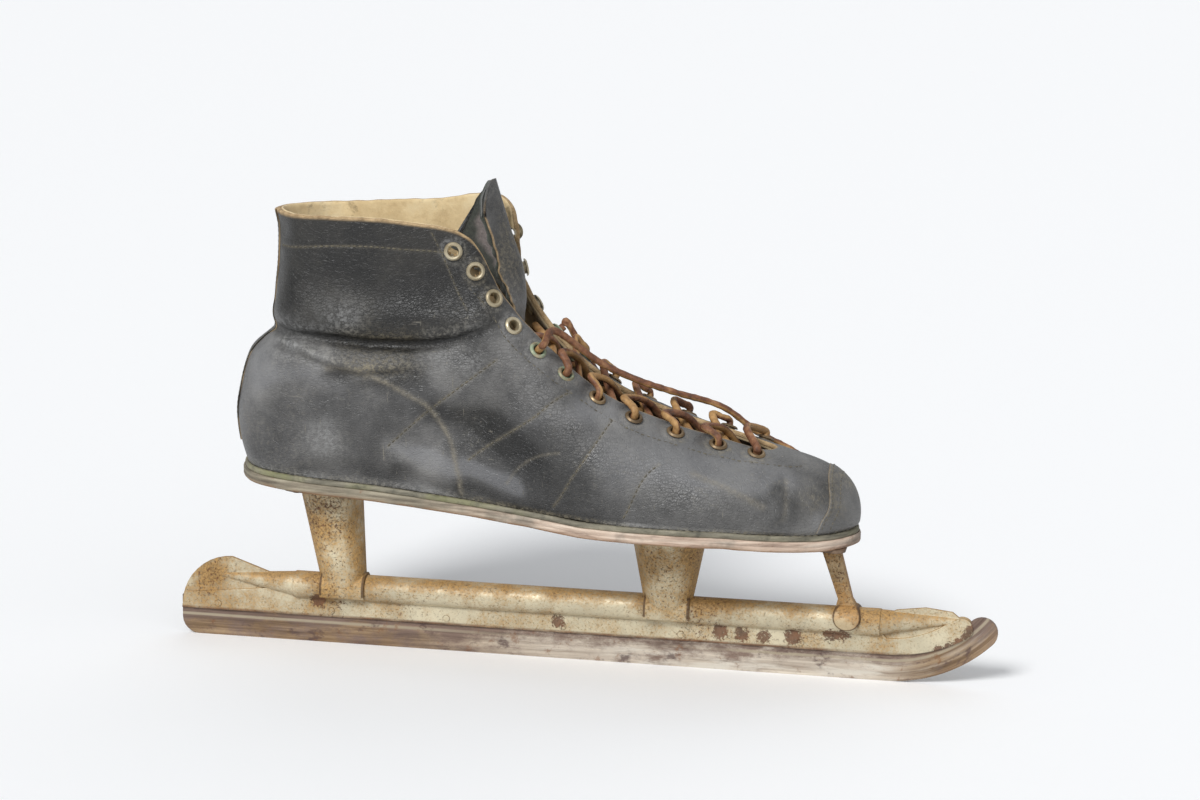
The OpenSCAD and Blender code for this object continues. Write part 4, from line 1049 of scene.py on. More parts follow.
# Sole: edge profiles as height shares and insets, and the counts of its meshes
STACK_EDGE = [(0.0, 0.7), (0.06, 0.25), (0.2, 0.0), (0.42, 0.05), (0.5, 0.3), (0.58, 0.05), (0.8, 0.0),
              (0.94, 0.2), (1.0, 0.6)]
ROLL_EDGE = [(0.0, 0.5), (0.1, 0.15), (0.3, 0.0), (0.6, 0.0), (0.85, 0.15), (1.0, 0.6)]
SOFT_EDGE = [(0.0, 0.4), (0.2, 0.0), (0.7, 0.0), (0.9, 0.3), (1.0, 0.9)]
OUTSOLE_WORN, WELT_WORN, FOOTBED_WORN, SOLE_WEAR = 0.25, 0.15, 0.1, ((1.0, 9.0, 41), (0.6, 3.2, 42))
WELT_INSET, FOOTBED_INSET = 0.8, WELT_LEDGE + WALL + COUNTER_T + 1.2
FOOTBED_Z = SOLE_T + SEAT_GAP
SOLE_COLUMNS, SOLE_ACROSS, LOW_SHARE, KEEL_HALF = 260, 15, 0.3, 12.0
WELT_STITCH, WELT_ROW_INSET, WELT_ROW_POINTS, WELT_ROW_LIFT = (3.4, 2.5, 0.36), 2.1, 1200, 0.02


def sole_points(u, inset, height):
    spot = plan_at(u, inset)
    return np.stack([spot[..., 0], spot[..., 1], sole_z(spot[..., 0]) + height], -1)


def make_sole_layer(name, node, slot, material, inset, z0, z1, profile, worn):
    """One layer of the sole: sections across it, with a worked edge profile that is worn uneven."""
    stations = HALF * 0.5 * (1.0 - np.cos(np.linspace(0.0, math.pi, SOLE_COLUMNS)))
    right = np.stack([sole_points(stations, inset + more, lerp(z0, z1, share)) for share, more in profile], 1)
    left = right * np.array([1.0, -1.0, 1.0])
    share = np.linspace(0.0, 1.0, SOLE_ACROSS)[1:-1, None]
    top = left[:, -1:] + (right[:, -1:] - left[:, -1:]) * share
    bottom = right[:, :1] + (left[:, :1] - right[:, :1]) * share
    points = np.concatenate([right[:, ::-1], bottom, left, top], 1)
    flat = np.zeros(SOLE_ACROSS - 2)
    low = 1.0 - ease(np.array(profile)[:, 0] / LOW_SHARE)
    rim = np.ones(len(profile))
    low_ring, rim_ring = (np.concatenate([edge[::-1], flat, edge, flat]) for edge in (low, rim))
    crumbled = np.minimum(worn * uneven(points, *SOLE_WEAR) * rim_ring, 0.5 * worn)
    y = points[..., 1]
    points[..., 1] = y + crumbled * np.sign(y) * ease(np.abs(y) / KEEL_HALF)
    masks = {"rim": np.broadcast_to(rim_ring, y.shape), "low": np.broadcast_to(low_ring, y.shape)}
    add_piece(name, points, closed_rings(points), material, slot, stands_for=(node,), masks=masks)


def make_sole(outsole, welt, suede, thread):
    make_sole_layer("leather_outsole", "outsole", "sole_leather", outsole, 0.0, 0.0, OUTSOLE_T, STACK_EDGE,
                    OUTSOLE_WORN)
    make_sole_layer("leather_welt", "welt", "welt_leather", welt, WELT_INSET, OUTSOLE_T, SOLE_T, ROLL_EDGE,
                    WELT_WORN)
    make_sole_layer("footbed", "insole", "tan_leather", suede, FOOTBED_INSET, FOOTBED_Z, FOOTBED_Z + INSOLE_T,
                    SOFT_EDGE, FOOTBED_WORN)
    u = np.linspace(0.0, LOOP, WELT_ROW_POINTS, endpoint=False)
    line = sole_points(u, WELT_ROW_INSET, SOLE_T + WELT_ROW_LIFT)
    up = np.tile([0.0, 0.0, 1.0], (len(u), 1))
    add_piece("welt_thread", *stitches(line, up, *WELT_STITCH), thread, "welt_leather")


# Tongue: how far its near and its far side bend back, along the low part and at each point of the flap
LOW_BEND = (4.5, 1.5)
NEAR_BEND, FAR_BEND = np.array([1.5, 3.0, 7.0, 5.0, 9.0]), np.array([1.5, 8.0, 19.0, 27.0, 34.0])
TONGUE_ROWS, TONGUE_ACROSS, FELT_ROWS, FELT_FIRST = 220, 29, 90, 22
EDGE_TURN, EDGE_BULGE = np.array([0.25, 0.5, 0.75]), 0.45
TONGUE_WAVE, FELT_WAVE, FELT_INSET = 0.25, 0.5, 0.6
TONGUE_RAW, TONGUE_TONE, FELT_FUZZ_WAY = 0.7, 0.6, np.array([0.6, 0.5, 0.3])
HINGE_REACH, LINE_STEP, LOW_POWER = 6.0, 0.05, 1.6
# Cut of its top: depth and power on each side. Waves of its cut edge: share, pace, shift
NEAR_CUT, FAR_CUT = (0.14, 2.5), (0.24, 2.2)
EDGE_WAVES = ((1.0, 7.0, 0.0), (0.6, 17.0, 1.0))
# Unevenness: height, size, seed
TONGUE_SLACK, TONGUE_WEAR = (0.5, 22.0, 51), (0.3, (0.5, 15.0, 52))
FUZZ = ((0.25, 2.4, 53), (0.2, 6.0, 54))
# Where the felt's dark border starts at the sides and the top, as share and span
FELT_SIDE, FELT_TOP = (0.7, 0.1), (0.9, 0.06)


def tongue_grid(line, half, near, far, lifts, rows, wave, bend):
    """Rings across the tongue, outer face then inner: bent back at the sides, cut to a point."""
    share = np.linspace(-1.0, 1.0, TONGUE_ACROSS)
    f = np.concatenate([share, np.full(3, 1.0), share[::-1], np.full(3, -1.0)])[None, :]
    turn = lerp(*lifts, EDGE_TURN)
    outer, inner = (np.full(TONGUE_ACROSS, lift) for lift in lifts)
    lift = np.concatenate([outer, turn, inner, turn[::-1]])
    bulge = np.zeros(f.shape)
    bulge[0, TONGUE_ACROSS:TONGUE_ACROSS + 3] = EDGE_BULGE * np.sin(math.pi * EDGE_TURN)
    bulge[0, -3:] = -EDGE_BULGE * np.sin(math.pi * EDGE_TURN)
    last = len(line) - 1.0
    near_drop, far_drop = (depth * np.abs(f) ** power for depth, power in (NEAR_CUT, FAR_CUT))
    drop = np.where(f < 0.0, near_drop, far_drop)
    steps = np.linspace(0.0, last, rows)[:, None]
    at = np.where(steps > bend, bend + (steps - bend) * (1.0 - drop), steps)
    mids, wide = on_line(line, at), on_line(half, at)
    ahead, behind = np.minimum(at + LINE_STEP, last), np.maximum(at - LINE_STEP, 0.0)
    along = unit(on_line(line, ahead) - on_line(line, behind))
    y = f * (wide + wave * sum(much * np.sin(at * pace + shift) for much, pace, shift in EDGE_WAVES)) + bulge
    sweep = np.where(f < 0.0, on_line(near, at), on_line(far, at))
    slope = 2.0 * sweep * y / np.square(wide)
    run = np.sqrt(1.0 + slope * slope)
    back = lift / run - sweep * np.square(y / wide)
    x, z = mids[..., 0] + back * along[..., 1], mids[..., 1] - back * along[..., 0]
    return np.stack([x, y + lift * slope / run, z], -1), np.broadcast_to(np.abs(f), y.shape), steps


def make_tongue(leather, felt):
    low, high = tongue_line()
    low_bend = lerp(*LOW_BEND, np.linspace(0.0, 1.0, len(low)) ** LOW_POWER)
    near, far = (np.concatenate([low_bend, bend]) for bend in (NEAR_BEND, FAR_BEND))
    points, _, at = tongue_grid(np.concatenate([low, high]), LOW_HALF + HIGH_HALF, near, far,
                                (0.0, -TONGUE_T), TONGUE_ROWS, TONGUE_WAVE, len(low))
    points[..., 0] += uneven(points, TONGUE_SLACK) * ease(at - len(low))
    masks = leather_masks(points.shape[:2], tone=TONGUE_TONE, wear=patchy_wear(points, *TONGUE_WEAR))
    masks["edge"][:, TONGUE_ACROSS:TONGUE_ACROSS + 3] = TONGUE_RAW
    masks["edge"][:, -3:] = TONGUE_RAW
    tongue = add_piece("leather_tongue", points, closed_rings(points, True), leather, "black_leather",
                       body=None, stands_for=("tongue_base", "tongue_flap"), masks=masks)
    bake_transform(tongue)
    top = -TONGUE_T - FELT_GAP * 0.5
    points, across, _ = tongue_grid(high, [wide - FELT_INSET for wide in HIGH_HALF], NEAR_BEND, FAR_BEND,
                                    (top, top - FELT_T), FELT_ROWS, FELT_WAVE, 0.0)
    points, across = points[FELT_FIRST:], across[FELT_FIRST:]
    points = points + uneven(points, *FUZZ)[..., None] * FELT_FUZZ_WAY
    rising = np.linspace(0.0, 1.0, len(points))[:, None]
    border = np.maximum(climb(across, *FELT_SIDE), climb(rising, *FELT_TOP))
    add_piece("felt_pad", points, closed_rings(points, True), felt, "felt", body=TONGUE,
              stands_for=("tongue_felt",), masks={"border": border})


# Lace: steps between route points, then seed and turns of the thong, for the ends and the laced part
END_STEPS, END_THONG, LACE_STEPS, LACE_THONG = 12, (3.0, 0.35), 8, (0.0, 3.0)


def smooth_route(points, steps):
    return on_line(points, np.linspace(0.0, len(points) - 1.0, steps * (len(points) - 1) + 1))


def add_thong(name, path, looks, material, node):
    rings, faces, flesh = thong(path, *looks)
    return add_piece(name, rings, faces, material, "lace_leather", stands_for=(node,), masks={"flesh": flesh})


def make_cords(rawhide):
    route = lace_route()
    ends = (route[0], RIGHT_OVER, RIGHT_DOWN), (route[-1], (), LEFT_DOWN)
    for (side, name), end in zip(SIDES, ends):
        path = smooth_route(end_route(side, *end), END_STEPS)
        piece = add_thong("lace_tail_" + name, path, END_THONG, rawhide, "lace_end_" + name)
        tuple(path[0] * MM)
        (path * MM).tolist()
    add_thong("leather_lace", smooth_route(route, LACE_STEPS), LACE_THONG, rawhide, "lace")


# Materials: shader sockets and the colours that are laid over the base ones
ROUGH, METALLIC, SPECULAR = "Roughness", "Metallic", "Specular IOR Level"
SHEEN, SHEEN_ROUGH = "Sheen Weight", "Sheen Roughness"
# Painted highlight over the pale tone patches, and painted light over the vamp
PAINTED_SHEEN_GREY, VAMP_PAINTED_LIGHT = (0.25, 0.252, 0.262), (0.23, 0.226, 0.217)
LEATHER_DUST, SCRATCH_TAN, SEAM_DUST = (0.2, 0.187, 0.16), (0.235, 0.215, 0.175), (0.25, 0.22, 0.165)
# Painted shade in the fold creases and in the torn dent
CREASE_PAINTED_SHADE, TORN_PAINTED_SHADE = (0.014, 0.0135, 0.013), (0.015, 0.014, 0.013)
SUEDE_SHADE, SUEDE_STAIN = (0.13, 0.09, 0.05), (0.1, 0.065, 0.035)
SOLE_GRIME, SOLE_RUST, SOLE_ORANGE = (0.12, 0.115, 0.1), (0.22, 0.085, 0.03), (0.36, 0.17, 0.065)
WELT_GREEN, WELT_GRIME, LACE_GRIME = (0.3, 0.31, 0.13), (0.07, 0.068, 0.055), (0.05, 0.038, 0.028)
# Grime of joints, which round the lugs also stands for painted contact shadow
JOINT_GRIME_AND_SHADE, VERDIGRIS = (0.09, 0.045, 0.018), (0.22, 0.36, 0.25)
# Painted highlight along the runner's groove, then the polish of its worn edge
GROOVE_PAINTED_GLINT, RUNNER_POLISH = (0.46, 0.39, 0.28), (0.74, 0.69, 0.6)
RUNNER_BLOT, RUNNER_RUST = (0.1, 0.06, 0.055), (0.24, 0.105, 0.042)
# Looks of a gritty noise, which many stains take
GRITTY = {"detail": 5.0, "rough": 0.7}
# Places on the metal, in metres: start and radius of the runner's nose, flange foot, tube seam, rim widths
NOSE_X, NOSE_R = 0.1405, 0.066
FOOT_Z = (0.0129, 0.0141)
SEAM_FROM_Z, SEAM_TO_Z = (0.0235, 0.0245), (0.033, 0.036)
SEAM_WIDE, RING_WIDE = (0.0003, 0.0008), (0.0002, 0.0007)


def scaled(colour, amount):
    return tuple(amount * part for part in colour)


def black_leather():
    paint = Paint("worn_black_leather")
    pale, raw = paint.mask("tone"), paint.mask("edge")
    broad = paint.noise(14.0, detail=3.0)
    cloud = paint.noise(46.0, detail=7.0, rough=0.68)
    tone = broad * 0.55 + cloud * 0.45
    dark = tone.ramp((0.36, (0.005, 0.0049, 0.0046)), (0.5, (0.011, 0.0106, 0.0096)),
                     (0.66, (0.036, 0.0335, 0.0285)))
    grey = tone.ramp((0.36, (0.027, 0.0266, 0.0263)), (0.5, (0.094, 0.0925, 0.091)),
                     (0.63, (0.225, 0.22, 0.212)))
    # The tone mask mixes dark and grey leather; on the upper it carries painted shade where low, painted
    # highlight where high
    paint.base = paint.mix(pale, dark, grey)
    # Painted highlight: a blue-grey sheen where painted light lifts the tone past 0.9
    paint.coat(pale.band(0.9, 1.4, 0.0, 0.45), PAINTED_SHEEN_GREY)
    # Painted light: a mottled grey haze over the vamp and toe
    front = paint.axes()[0].band(-0.01, 0.09)
    paint.coat(front * tone.band(0.34, 0.6, 0.12, 0.55), VAMP_PAINTED_LIGHT)
    speck = paint.noise(520.0, detail=5.0, rough=0.75)
    dust = speck.band(0.5, 0.66) * paint.patches(34.0, 0.42, 0.7)
    # Dust lies thicker where the tone, with its painted highlight, is high
    paint.coat(dust * pale.band(0.0, 1.0, 0.12, 0.5), LEATHER_DUST)
    hair = paint.streaks((800.0, 800.0, 45.0), (0.0, 38.0, 0.0), detail=3.0, rough=0.6, twist=0.4)
    other = paint.streaks((45.0, 800.0, 700.0), (0.0, 24.0, 0.0), detail=3.0, rough=0.6, twist=0.4)
    scratch = hair.band(0.66, 0.72).larger(other.band(0.67, 0.73))
    scratch = scratch * paint.patches(26.0, 0.45, 0.62, detail=2.0)
    paint.coat(scratch, SCRATCH_TAN, 0.7)
    crackle = paint.cell_edges(330.0, paint.stretched((1.0, 1.0, 2.2), (0.0, 20.0, 0.0)))
    patch = speck.band(0.42, 0.62) * 0.8 + crackle.band(0.0, 0.07, 1.0, 0.0) * 0.12
    rubbed = paint.mask("wear") * (patch + 0.1)
    paint.coat(rubbed, broad.ramp((0.42, (0.27, 0.235, 0.165)), (0.58, (0.3, 0.3, 0.295))))
    paint.coat(paint.mask("seam") * speck.band(0.35, 0.65, 0.3, 0.95), SEAM_DUST)
    # Painted shade: the fold creases are darkened nearly to black
    paint.coat(paint.mask("fold"), CREASE_PAINTED_SHADE, 0.7)
    # Painted shade: the torn dent is darkened nearly to black, as the shade of a hole
    paint.coat(paint.mask("torn"), TORN_PAINTED_SHADE, 0.9)
    fibre = paint.noise(300.0, **GRITTY)
    paint.coat(raw, fibre.ramp((0.3, (0.27, 0.175, 0.085)), (0.7, (0.6, 0.43, 0.235))))
    pores = paint.noise(1500.0, detail=3.0) * 0.6
    fine = paint.bump(pores + paint.cell_edges(900.0).band(0.0, 0.25), 0.00005)
    worn = crackle.band(0.0, 0.1) - scratch * 0.6
    paint.bump(paint.noise(42.0, rough=0.5, twist=0.6), 0.0012, paint.bump(worn, 0.0001, fine))
    dull = (rubbed + raw) * 0.3
    return paint.done({ROUGH: cloud.band(0.32, 0.66, 0.34, 0.52) + dull, SPECULAR: 0.52})


def tan_suede():
    paint = Paint("tan_suede")
    cloud = paint.noise(30.0, detail=6.0, rough=0.7)
    paint.base = cloud.ramp((0.3, (0.5, 0.35, 0.17)), (0.5, (0.77, 0.6, 0.34)), (0.72, (0.88, 0.76, 0.51)))
    # Painted shade: the suede darkens below 0.176 m, deeper inside the boot
    paint.coat(paint.axes()[2].band(0.176, 0.19, 0.72, 0.0), SUEDE_SHADE)
    paint.coat(paint.patches(90.0, 0.56, 0.72, **GRITTY), SUEDE_STAIN, 0.6)
    lumps = paint.bump(paint.noise(140.0, detail=3.0), 0.0006)
    paint.bump(paint.noise(1300.0, rough=0.7), 0.00016, lumps)
    return paint.done({ROUGH: cloud.band(0.3, 0.7, 0.8, 0.95), SPECULAR: 0.2, SHEEN: 0.25, SHEEN_ROUGH: 0.6})


def sole_edge(paint, streak, depth, driest):
    """Fibres along the streaks of a worked sole edge."""
    paint.bump(paint.noise(900.0), 0.00012, paint.bump(streak, depth))
    return paint.done({ROUGH: streak.band(0.3, 0.7, *driest), SPECULAR: 0.3})


def outsole_leather():
    paint = Paint("outsole_leather")
    streak = paint.streaks((40.0, 40.0, 520.0), detail=5.0, rough=0.65)
    paint.base = streak.ramp((0.3, (0.25, 0.17, 0.13)), (0.5, (0.6, 0.46, 0.36)), (0.7, (0.8, 0.67, 0.55)))
    paint.coat(paint.patches(26.0, 0.46, 0.66, **GRITTY), SOLE_GRIME, 0.6)
    olive = streak.ramp((0.3, (0.1, 0.095, 0.07)), (0.7, (0.3, 0.285, 0.2)))
    paint.coat(paint.axes()[0].band(-0.09, 0.01, 0.75, 0.0), olive)
    paint.coat(paint.patches(70.0, 0.6, 0.7, **GRITTY), SOLE_RUST, 0.6)
    orange = paint.noise(120.0).band(0.35, 0.55, 0.15, 0.85)
    paint.coat(paint.mask("low") * orange, SOLE_ORANGE)
    under = paint.noise(55.0, detail=5.0).ramp((0.3, (0.06, 0.045, 0.036)), (0.7, (0.2, 0.14, 0.1)))
    paint.base = paint.mix(paint.mask("rim"), under, paint.base)
    return sole_edge(paint, streak, 0.0005, (0.62, 0.85))


def welt_leather():
    paint = Paint("welt_leather")
    streak = paint.streaks((60.0, 60.0, 300.0), detail=5.0, rough=0.65)
    paint.base = streak.ramp((0.3, (0.1, 0.092, 0.07)), (0.52, (0.25, 0.23, 0.175)),
                             (0.75, (0.43, 0.395, 0.3)))
    rear = paint.axes()[0].band(-0.06, 0.06, 0.5, 0.15)
    paint.coat(paint.patches(34.0, 0.45, 0.68) * rear, WELT_GREEN)
    paint.coat(paint.patches(110.0, 0.5, 0.7, **GRITTY), WELT_GRIME, 0.6)
    return sole_edge(paint, streak, 0.0004, (0.65, 0.9))


def waxed_thread():
    paint = Paint("waxed_thread")
    paint.base = paint.noise(120.0).ramp((0.3, (0.06, 0.054, 0.042)), (0.7, (0.2, 0.175, 0.12)))
    twist = paint.streaks((2400.0, 2400.0, 2400.0), (30.0, 30.0, 0.0), detail=2.0)
    paint.bump(twist, 0.0001)
    return paint.done({ROUGH: twist.band(0.3, 0.7, 0.6, 0.8)})


def tongue_felt():
    paint = Paint("tongue_felt")
    fleck = paint.noise(700.0, detail=5.0, rough=0.75)
    middle = fleck.ramp((0.3, (0.13, 0.11, 0.105)), (0.7, (0.29, 0.25, 0.24)))
    dark = fleck.ramp((0.3, (0.012, 0.016, 0.012)), (0.7, (0.06, 0.068, 0.05)))
    paint.base = paint.mix(paint.mask("border"), middle, dark)
    paint.bump(fleck, 0.0003, paint.bump(paint.noise(260.0, detail=3.0), 0.0005))
    return paint.done({ROUGH: fleck.band(0.3, 0.7, 0.88, 1.0), SPECULAR: 0.1, SHEEN: 0.3, SHEEN_ROUGH: 0.7})


def rawhide():
    paint = Paint("rawhide_thong")
    streak = paint.noise(150.0, **GRITTY)
    outer = streak.ramp((0.32, (0.05, 0.02, 0.012)), (0.52, (0.2, 0.082, 0.038)), (0.7, (0.4, 0.21, 0.1)))
    inner = streak.ramp((0.32, (0.19, 0.09, 0.028)), (0.68, (0.56, 0.33, 0.13)))
    paint.base = paint.mix(paint.mask("flesh").band(0.4, 0.65), outer, inner)
    paint.coat(paint.patches(240.0, 0.52, 0.72, rough=0.7), LACE_GRIME, 0.55)
    lumps = paint.bump(paint.noise(330.0, detail=3.0), 0.00025)
    paint.bump(paint.noise(1400.0, detail=3.0), 0.0001, lumps)
    return paint.done({ROUGH: streak.band(0.3, 0.7, 0.48, 0.72)})


def joint_lines(paint, seams, rings):
    """Grime along the tube's cross seams, and grime with painted contact shadow round the lower part of its
    lugs.
    """
    x, _, z = paint.axes()
    tall = z.band(*SEAM_FROM_Z) * z.band(*SEAM_TO_Z, 0.85, 0.0)
    for seam_x in seams:
        paint.coat(abs(x - seam_x).band(*SEAM_WIDE, 1.0, 0.0) * tall, JOINT_GRIME_AND_SHADE)
    for middle_x, middle_z, radius in rings:
        away = paint.length(x - middle_x, z - middle_z)
        lower = z.band(middle_z + 0.6 * radius, middle_z + radius, 1.0, 0.0)
        # Grime and painted contact shadow round the lower part of each lug
        paint.coat(abs(away - radius).band(*RING_WIDE, 0.8, 0.0) * lower, JOINT_GRIME_AND_SHADE)


def aged_metal(name, bright, stained, rust, places=(), spots=(), seams=(), rings=(), amount=0.5,
               metallic=0.36):
    """Old plated metal: brown stain that thickens upwards and, as painted shade, on faces turned along the
    blade; speckled rust, more of it near given points.
    """
    paint = Paint(name)
    x, _, z = paint.axes()
    ends, _, top = paint.facing()
    cloud = paint.noise(38.0, detail=6.0, rough=0.65)
    paint.base = cloud.ramp((0.32, scaled(bright, 0.72)), (0.62, bright))
    closeness = 0.0
    for point, reach in places:
        closeness = paint.near(point, reach).larger(closeness)
    drift = paint.streaks((60.0, 90.0, 60.0), detail=6.0, rough=0.7)
    speckle = paint.noise(850.0, rough=0.7)
    stain_and_shade = drift + closeness * 0.18 + top.band(-0.1, 0.9, 0.06 * amount - 0.04, 0.06 * amount + 0.16)
    # Painted shade: faces turned along the blade, such as the cups' sides, take more stain colour
    stain_and_shade = stain_and_shade + abs(ends).band(0.3, 1.0, 0.0, 0.2) + speckle.band(0.3, 0.7, -0.06, 0.06)
    stain_and_shade = (stain_and_shade + x.band(-0.165, -0.12, 0.13, 0.0)).band(0.38, 0.8, 0.0, 0.9)
    paint.coat(stain_and_shade, speckle.ramp((0.34, scaled(stained, 0.5)), (0.6, scaled(stained, 1.1))))
    pepper = paint.patches(1000.0, 0.54, 0.66, detail=3.0, rough=0.65)
    paint.coat(pepper * drift.band(0.35, 0.62, 0.15, 0.75), scaled(stained, 0.5))
    place = paint.noise(32.0).band(0.42, 0.72, -0.06, 0.08 * amount) + closeness * 0.1
    for point, reach in spots:
        place = place + paint.near(point, reach) * 0.32
    rusty = (paint.noise(800.0, detail=5.0, rough=0.72) + place).band(0.58, 0.7)
    rust_colour = paint.noise(210.0).ramp((0.3, scaled(rust, 0.35)), (0.7, rust))
    paint.coat(rusty, rust_colour, 0.88)
    paint.coat(z.band(*FOOT_Z, 1.0, 0.0) * cloud.band(0.3, 0.6, 0.25, 0.9), rust_colour)
    joint_lines(paint, seams, rings)
    pits = paint.patches(900.0, 0.64, 0.72, detail=3.0, rough=0.6)
    paint.coat(pits, scaled(rust, 0.4), 0.35)
    fine = paint.bump(rusty * paint.noise(900.0) - pits, 0.00025, round_edge=0.0006)
    paint.bump(paint.noise(420.0), 0.00008, fine)
    dull = stain_and_shade.larger(rusty)
    return paint.done({METALLIC: dull.band(0.0, 1.0, metallic, 0.05),
                       ROUGH: cloud.band(0.3, 0.7, 0.52, 0.44) + dull * 0.16})


def bend_along_nose(paint):
    """Lets the patterns of the runner follow its upswept nose."""
    x, y, z = paint.axes()
    away = paint.length((x - NOSE_X).larger(0.0), NOSE_R - z)
    paint.place = paint.node("CombineXYZ", "Vector", {"X": x, "Y": y, "Z": NOSE_R - away})


def runner_steel():
    paint = Paint("rusted_runner")
    bend_along_nose(paint)
    x, _, z = paint.axes()
    streak = paint.streaks((16.0, 60.0, 420.0), detail=6.0, rough=0.68)
    patch = paint.streaks((45.0, 60.0, 85.0), detail=6.0, rough=0.74)
    pale = streak.ramp((0.32, (0.34, 0.27, 0.21)), (0.5, (0.58, 0.5, 0.41)), (0.68, (0.8, 0.72, 0.6)))
    brown = streak.ramp((0.32, (0.13, 0.08, 0.042)), (0.5, (0.275, 0.18, 0.1)), (0.68, (0.48, 0.34, 0.205)))
    dark = streak.ramp((0.35, (0.11, 0.07, 0.054)), (0.65, (0.28, 0.195, 0.15)))
    rear = x.band(-0.1, 0.0, 1.0, 0.0)
    paint.base = paint.mix(rear.larger(x.band(0.13, 0.165)), pale, brown)
    low = z.band(0.004, 0.0125, 0.06, -0.09) - x.band(0.14, 0.175, 0.0, 0.05) - rear * 0.09
    paint.coat((patch - low).band(0.41, 0.66), dark)
    # Painted highlight: a pale line along the runner's groove, broken ahead and whole at the rear
    groove = z.band(0.0085, 0.0092) * z.band(0.0098, 0.0105, 1.0, 0.0)
    broken = paint.patches(9.0, 0.42, 0.55, detail=2.0).larger(rear)
    paint.coat(groove * broken, GROOVE_PAINTED_GLINT, 0.8)
    polish = paint.streaks((26.0, 60.0, 190.0), detail=5.0, rough=0.65).band(0.48, 0.64)
    polish = polish * x.band(-0.06, 0.02) * x.band(0.13, 0.17, 1.0, 0.3) * z.band(0.007, 0.009, 1.0, 0.0)
    paint.coat(polish, RUNNER_POLISH, 0.85)
    blot = paint.streaks((75.0, 75.0, 120.0), **GRITTY)
    paint.coat(blot.band(0.56, 0.68, 0.0, 0.8), RUNNER_BLOT)
    paint.coat(paint.patches(180.0, 0.57, 0.68, detail=6.0, rough=0.7), RUNNER_RUST, 0.55)
    paint.bump(paint.noise(620.0, rough=0.65), 0.0002, round_edge=0.0003)
    return paint.done({METALLIC: patch.band(0.45, 0.58, 0.45, 0.1), ROUGH: patch.band(0.42, 0.6, 0.42, 0.68)})


# Eyelets with verdigris, as number and strength, and the reach of it in metres
GREEN_EYELETS, GREEN_REACH = ((5, 0.75), (6, 1.0)), 0.0085


def eyelet_brass():
    paint = Paint("eyelet_brass")
    cloud = paint.noise(120.0, detail=5.0, rough=0.65)
    paint.base = cloud.ramp((0.3, (0.27, 0.21, 0.12)), (0.66, (0.6, 0.53, 0.38)))
    brown = cloud.ramp((0.3, (0.12, 0.08, 0.045)), (0.7, (0.34, 0.24, 0.13)))
    paint.coat(paint.axes()[2].band(0.13, 0.145, 1.0, 0.0), brown)
    green = paint.noise(260.0, **GRITTY)
    lift = 0.0
    for side, _ in SIDES:
        for number, strength in GREEN_EYELETS:
            middle = tuple(eyelet_frame(side, number)[0] * MM)
            lift = (paint.near(middle, GREEN_REACH) * strength).larger(lift)
    bloom = lift * green.band(0.36, 0.56)
    paint.coat(bloom, VERDIGRIS)
    paint.bump(green, 0.00012, round_edge=0.0003)
    return paint.done({METALLIC: bloom.band(0.0, 1.0, 0.5, 0.0),
                       ROUGH: cloud.band(0.3, 0.7, 0.5, 0.36) + bloom * 0.35})


# Kept CAD metal: stained places as point and reach, rust spots of the pins and of the flange ends, in metres
STAINED_PLACES = [
    ((-0.118, -0.01, 0.034), 0.028), ((0.052, -0.01, 0.034), 0.028), ((0.128, -0.006, 0.034), 0.012),
    ((-0.118, 0.01, 0.034), 0.028), ((0.052, 0.01, 0.034), 0.028), ((-0.118, -0.016, 0.07), 0.016),
    ((-0.178, -0.006, 0.026), 0.014), ((0.118, -0.006, 0.06), 0.02), ((0.124, -0.006, 0.045), 0.022),
    ((-0.122, -0.012, 0.052), 0.026), ((0.036, -0.014, 0.05), 0.02), ((0.056, -0.012, 0.048), 0.022)]
PIN_SPOTS = ((0.065, 0.0182), (0.075, 0.0174), (0.085, 0.0172), (0.098, 0.0181), (0.115, 0.0204),
             (0.121, 0.0206), (-0.01, 0.0177), (-0.124, 0.0205))
END_SPOTS = ((0.164, 0.0162), (0.1685, 0.0183), (0.1725, 0.0205), (0.176, 0.0236), (0.1778, 0.027))
PIN_OFF_Y, PIN_REACH, END_OFF_Y, END_REACH = 0.0035, 0.0055, 0.0025, 0.0036
TUBE_SEAMS, LUG_RINGS = (-0.1215, -0.1015, 0.0305, 0.0505), ((0.1225, 0.02985, 0.006),)
RUST, IRON_RUST = (0.2, 0.078, 0.034), (0.27, 0.105, 0.04)
WELD_REACH, SPLIT_ANGLE = 0.00001, 32.0


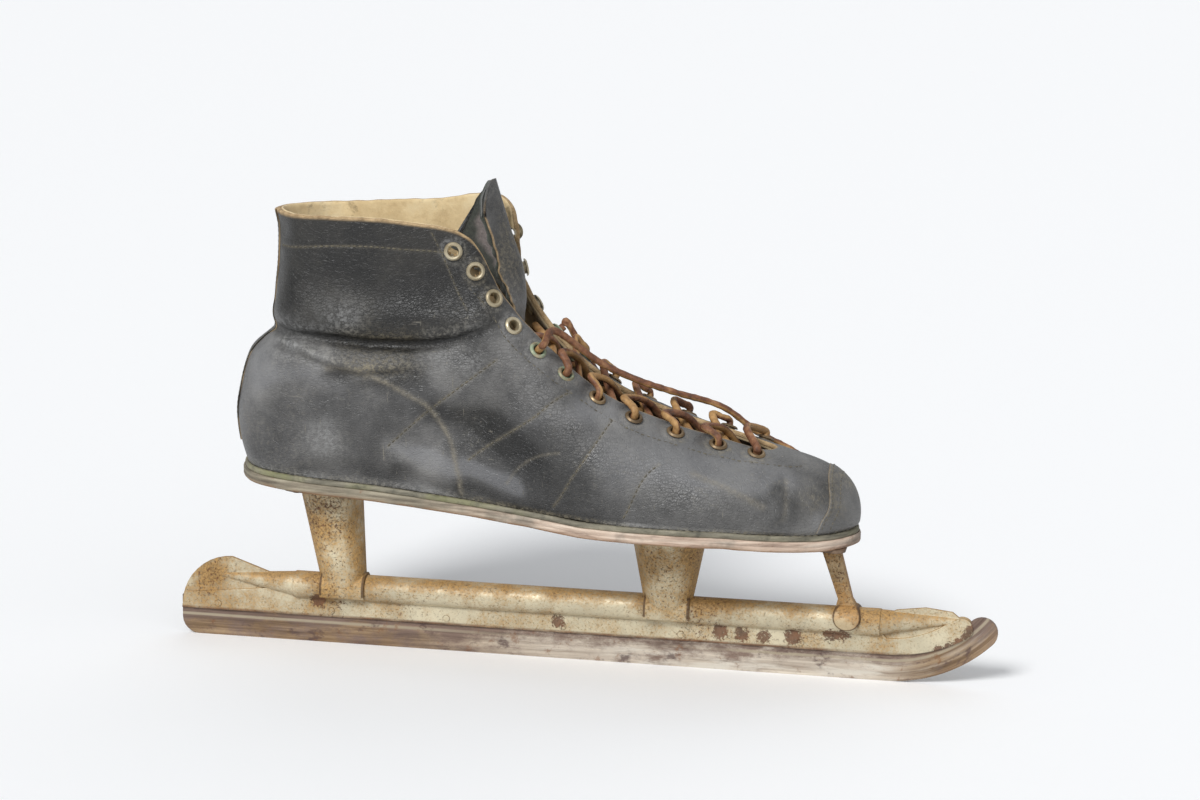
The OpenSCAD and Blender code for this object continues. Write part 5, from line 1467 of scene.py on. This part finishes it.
def dress(nodes, material):
    """Gives CAD nodes a material and smooth shading between their sharp edges."""
    for name in nodes:
        piece = bpy.data.objects[name]
        mesh = piece.data
        mesh.materials.clear()
        mesh.materials.append(material)
        if "custom_normal" in mesh.attributes:
            mesh.attributes.remove(mesh.attributes["custom_normal"])
        mesh.polygons.foreach_set("use_smooth", [True] * len(mesh.polygons))
        mesh.polygons.foreach_set("material_index", [0] * len(mesh.polygons))
        piece.modifiers.new("weld", "WELD").merge_threshold = WELD_REACH
        piece.modifiers.new("split", "EDGE_SPLIT").split_angle = math.radians(SPLIT_ANGLE)


def dress_metal():
    spots = [((x, y, z), reach) for places, off, reach in ((PIN_SPOTS, PIN_OFF_Y, PIN_REACH),
                                                           (END_SPOTS, END_OFF_Y, END_REACH))
             for y in (-off, off) for x, z in places]
    dress(["frame_tube", "runner_pins"], aged_metal(
        "worn_nickel", (0.74, 0.66, 0.47), (0.43, 0.235, 0.062), RUST, STAINED_PLACES, spots, TUBE_SEAMS,
        LUG_RINGS))
    # Painted light: the cups take a paler copy of the nickel, lifting them out of the sole's shadow
    dress(["heel_cup", "sole_cup"], aged_metal(
        "worn_cups_painted_light", (0.84, 0.75, 0.53), (0.5, 0.28, 0.078), RUST, STAINED_PLACES, seams=TUBE_SEAMS))
    dress(["toe_brace"], aged_metal(
        "worn_brace", (0.66, 0.52, 0.32), (0.42, 0.22, 0.062), RUST, STAINED_PLACES, rings=LUG_RINGS))
    rusty = aged_metal("rusty_iron", (0.3, 0.21, 0.14), (0.15, 0.085, 0.05), IRON_RUST, amount=1.8,
                       metallic=0.25)
    for part in ("heel", "sole", "toe"):
        dress([part + "_plate", part + "_rivets"], rusty)
    dress(["shank"], rusty)
    dress(["runner"], runner_steel())
    dress(["eyelets_right", "eyelets_left"], eyelet_brass())


make_camera()
make_cords(rawhide())
make_stage()
black, suede, thread = black_leather(), tan_suede(), waxed_thread()
make_upper(black, suede)
make_counter(suede)
make_backstay(black)
make_toe_cap(black)
make_stitching(thread)
make_sole(outsole_leather(), welt_leather(), suede, thread)
make_tongue(black, tongue_felt())
dress_metal()
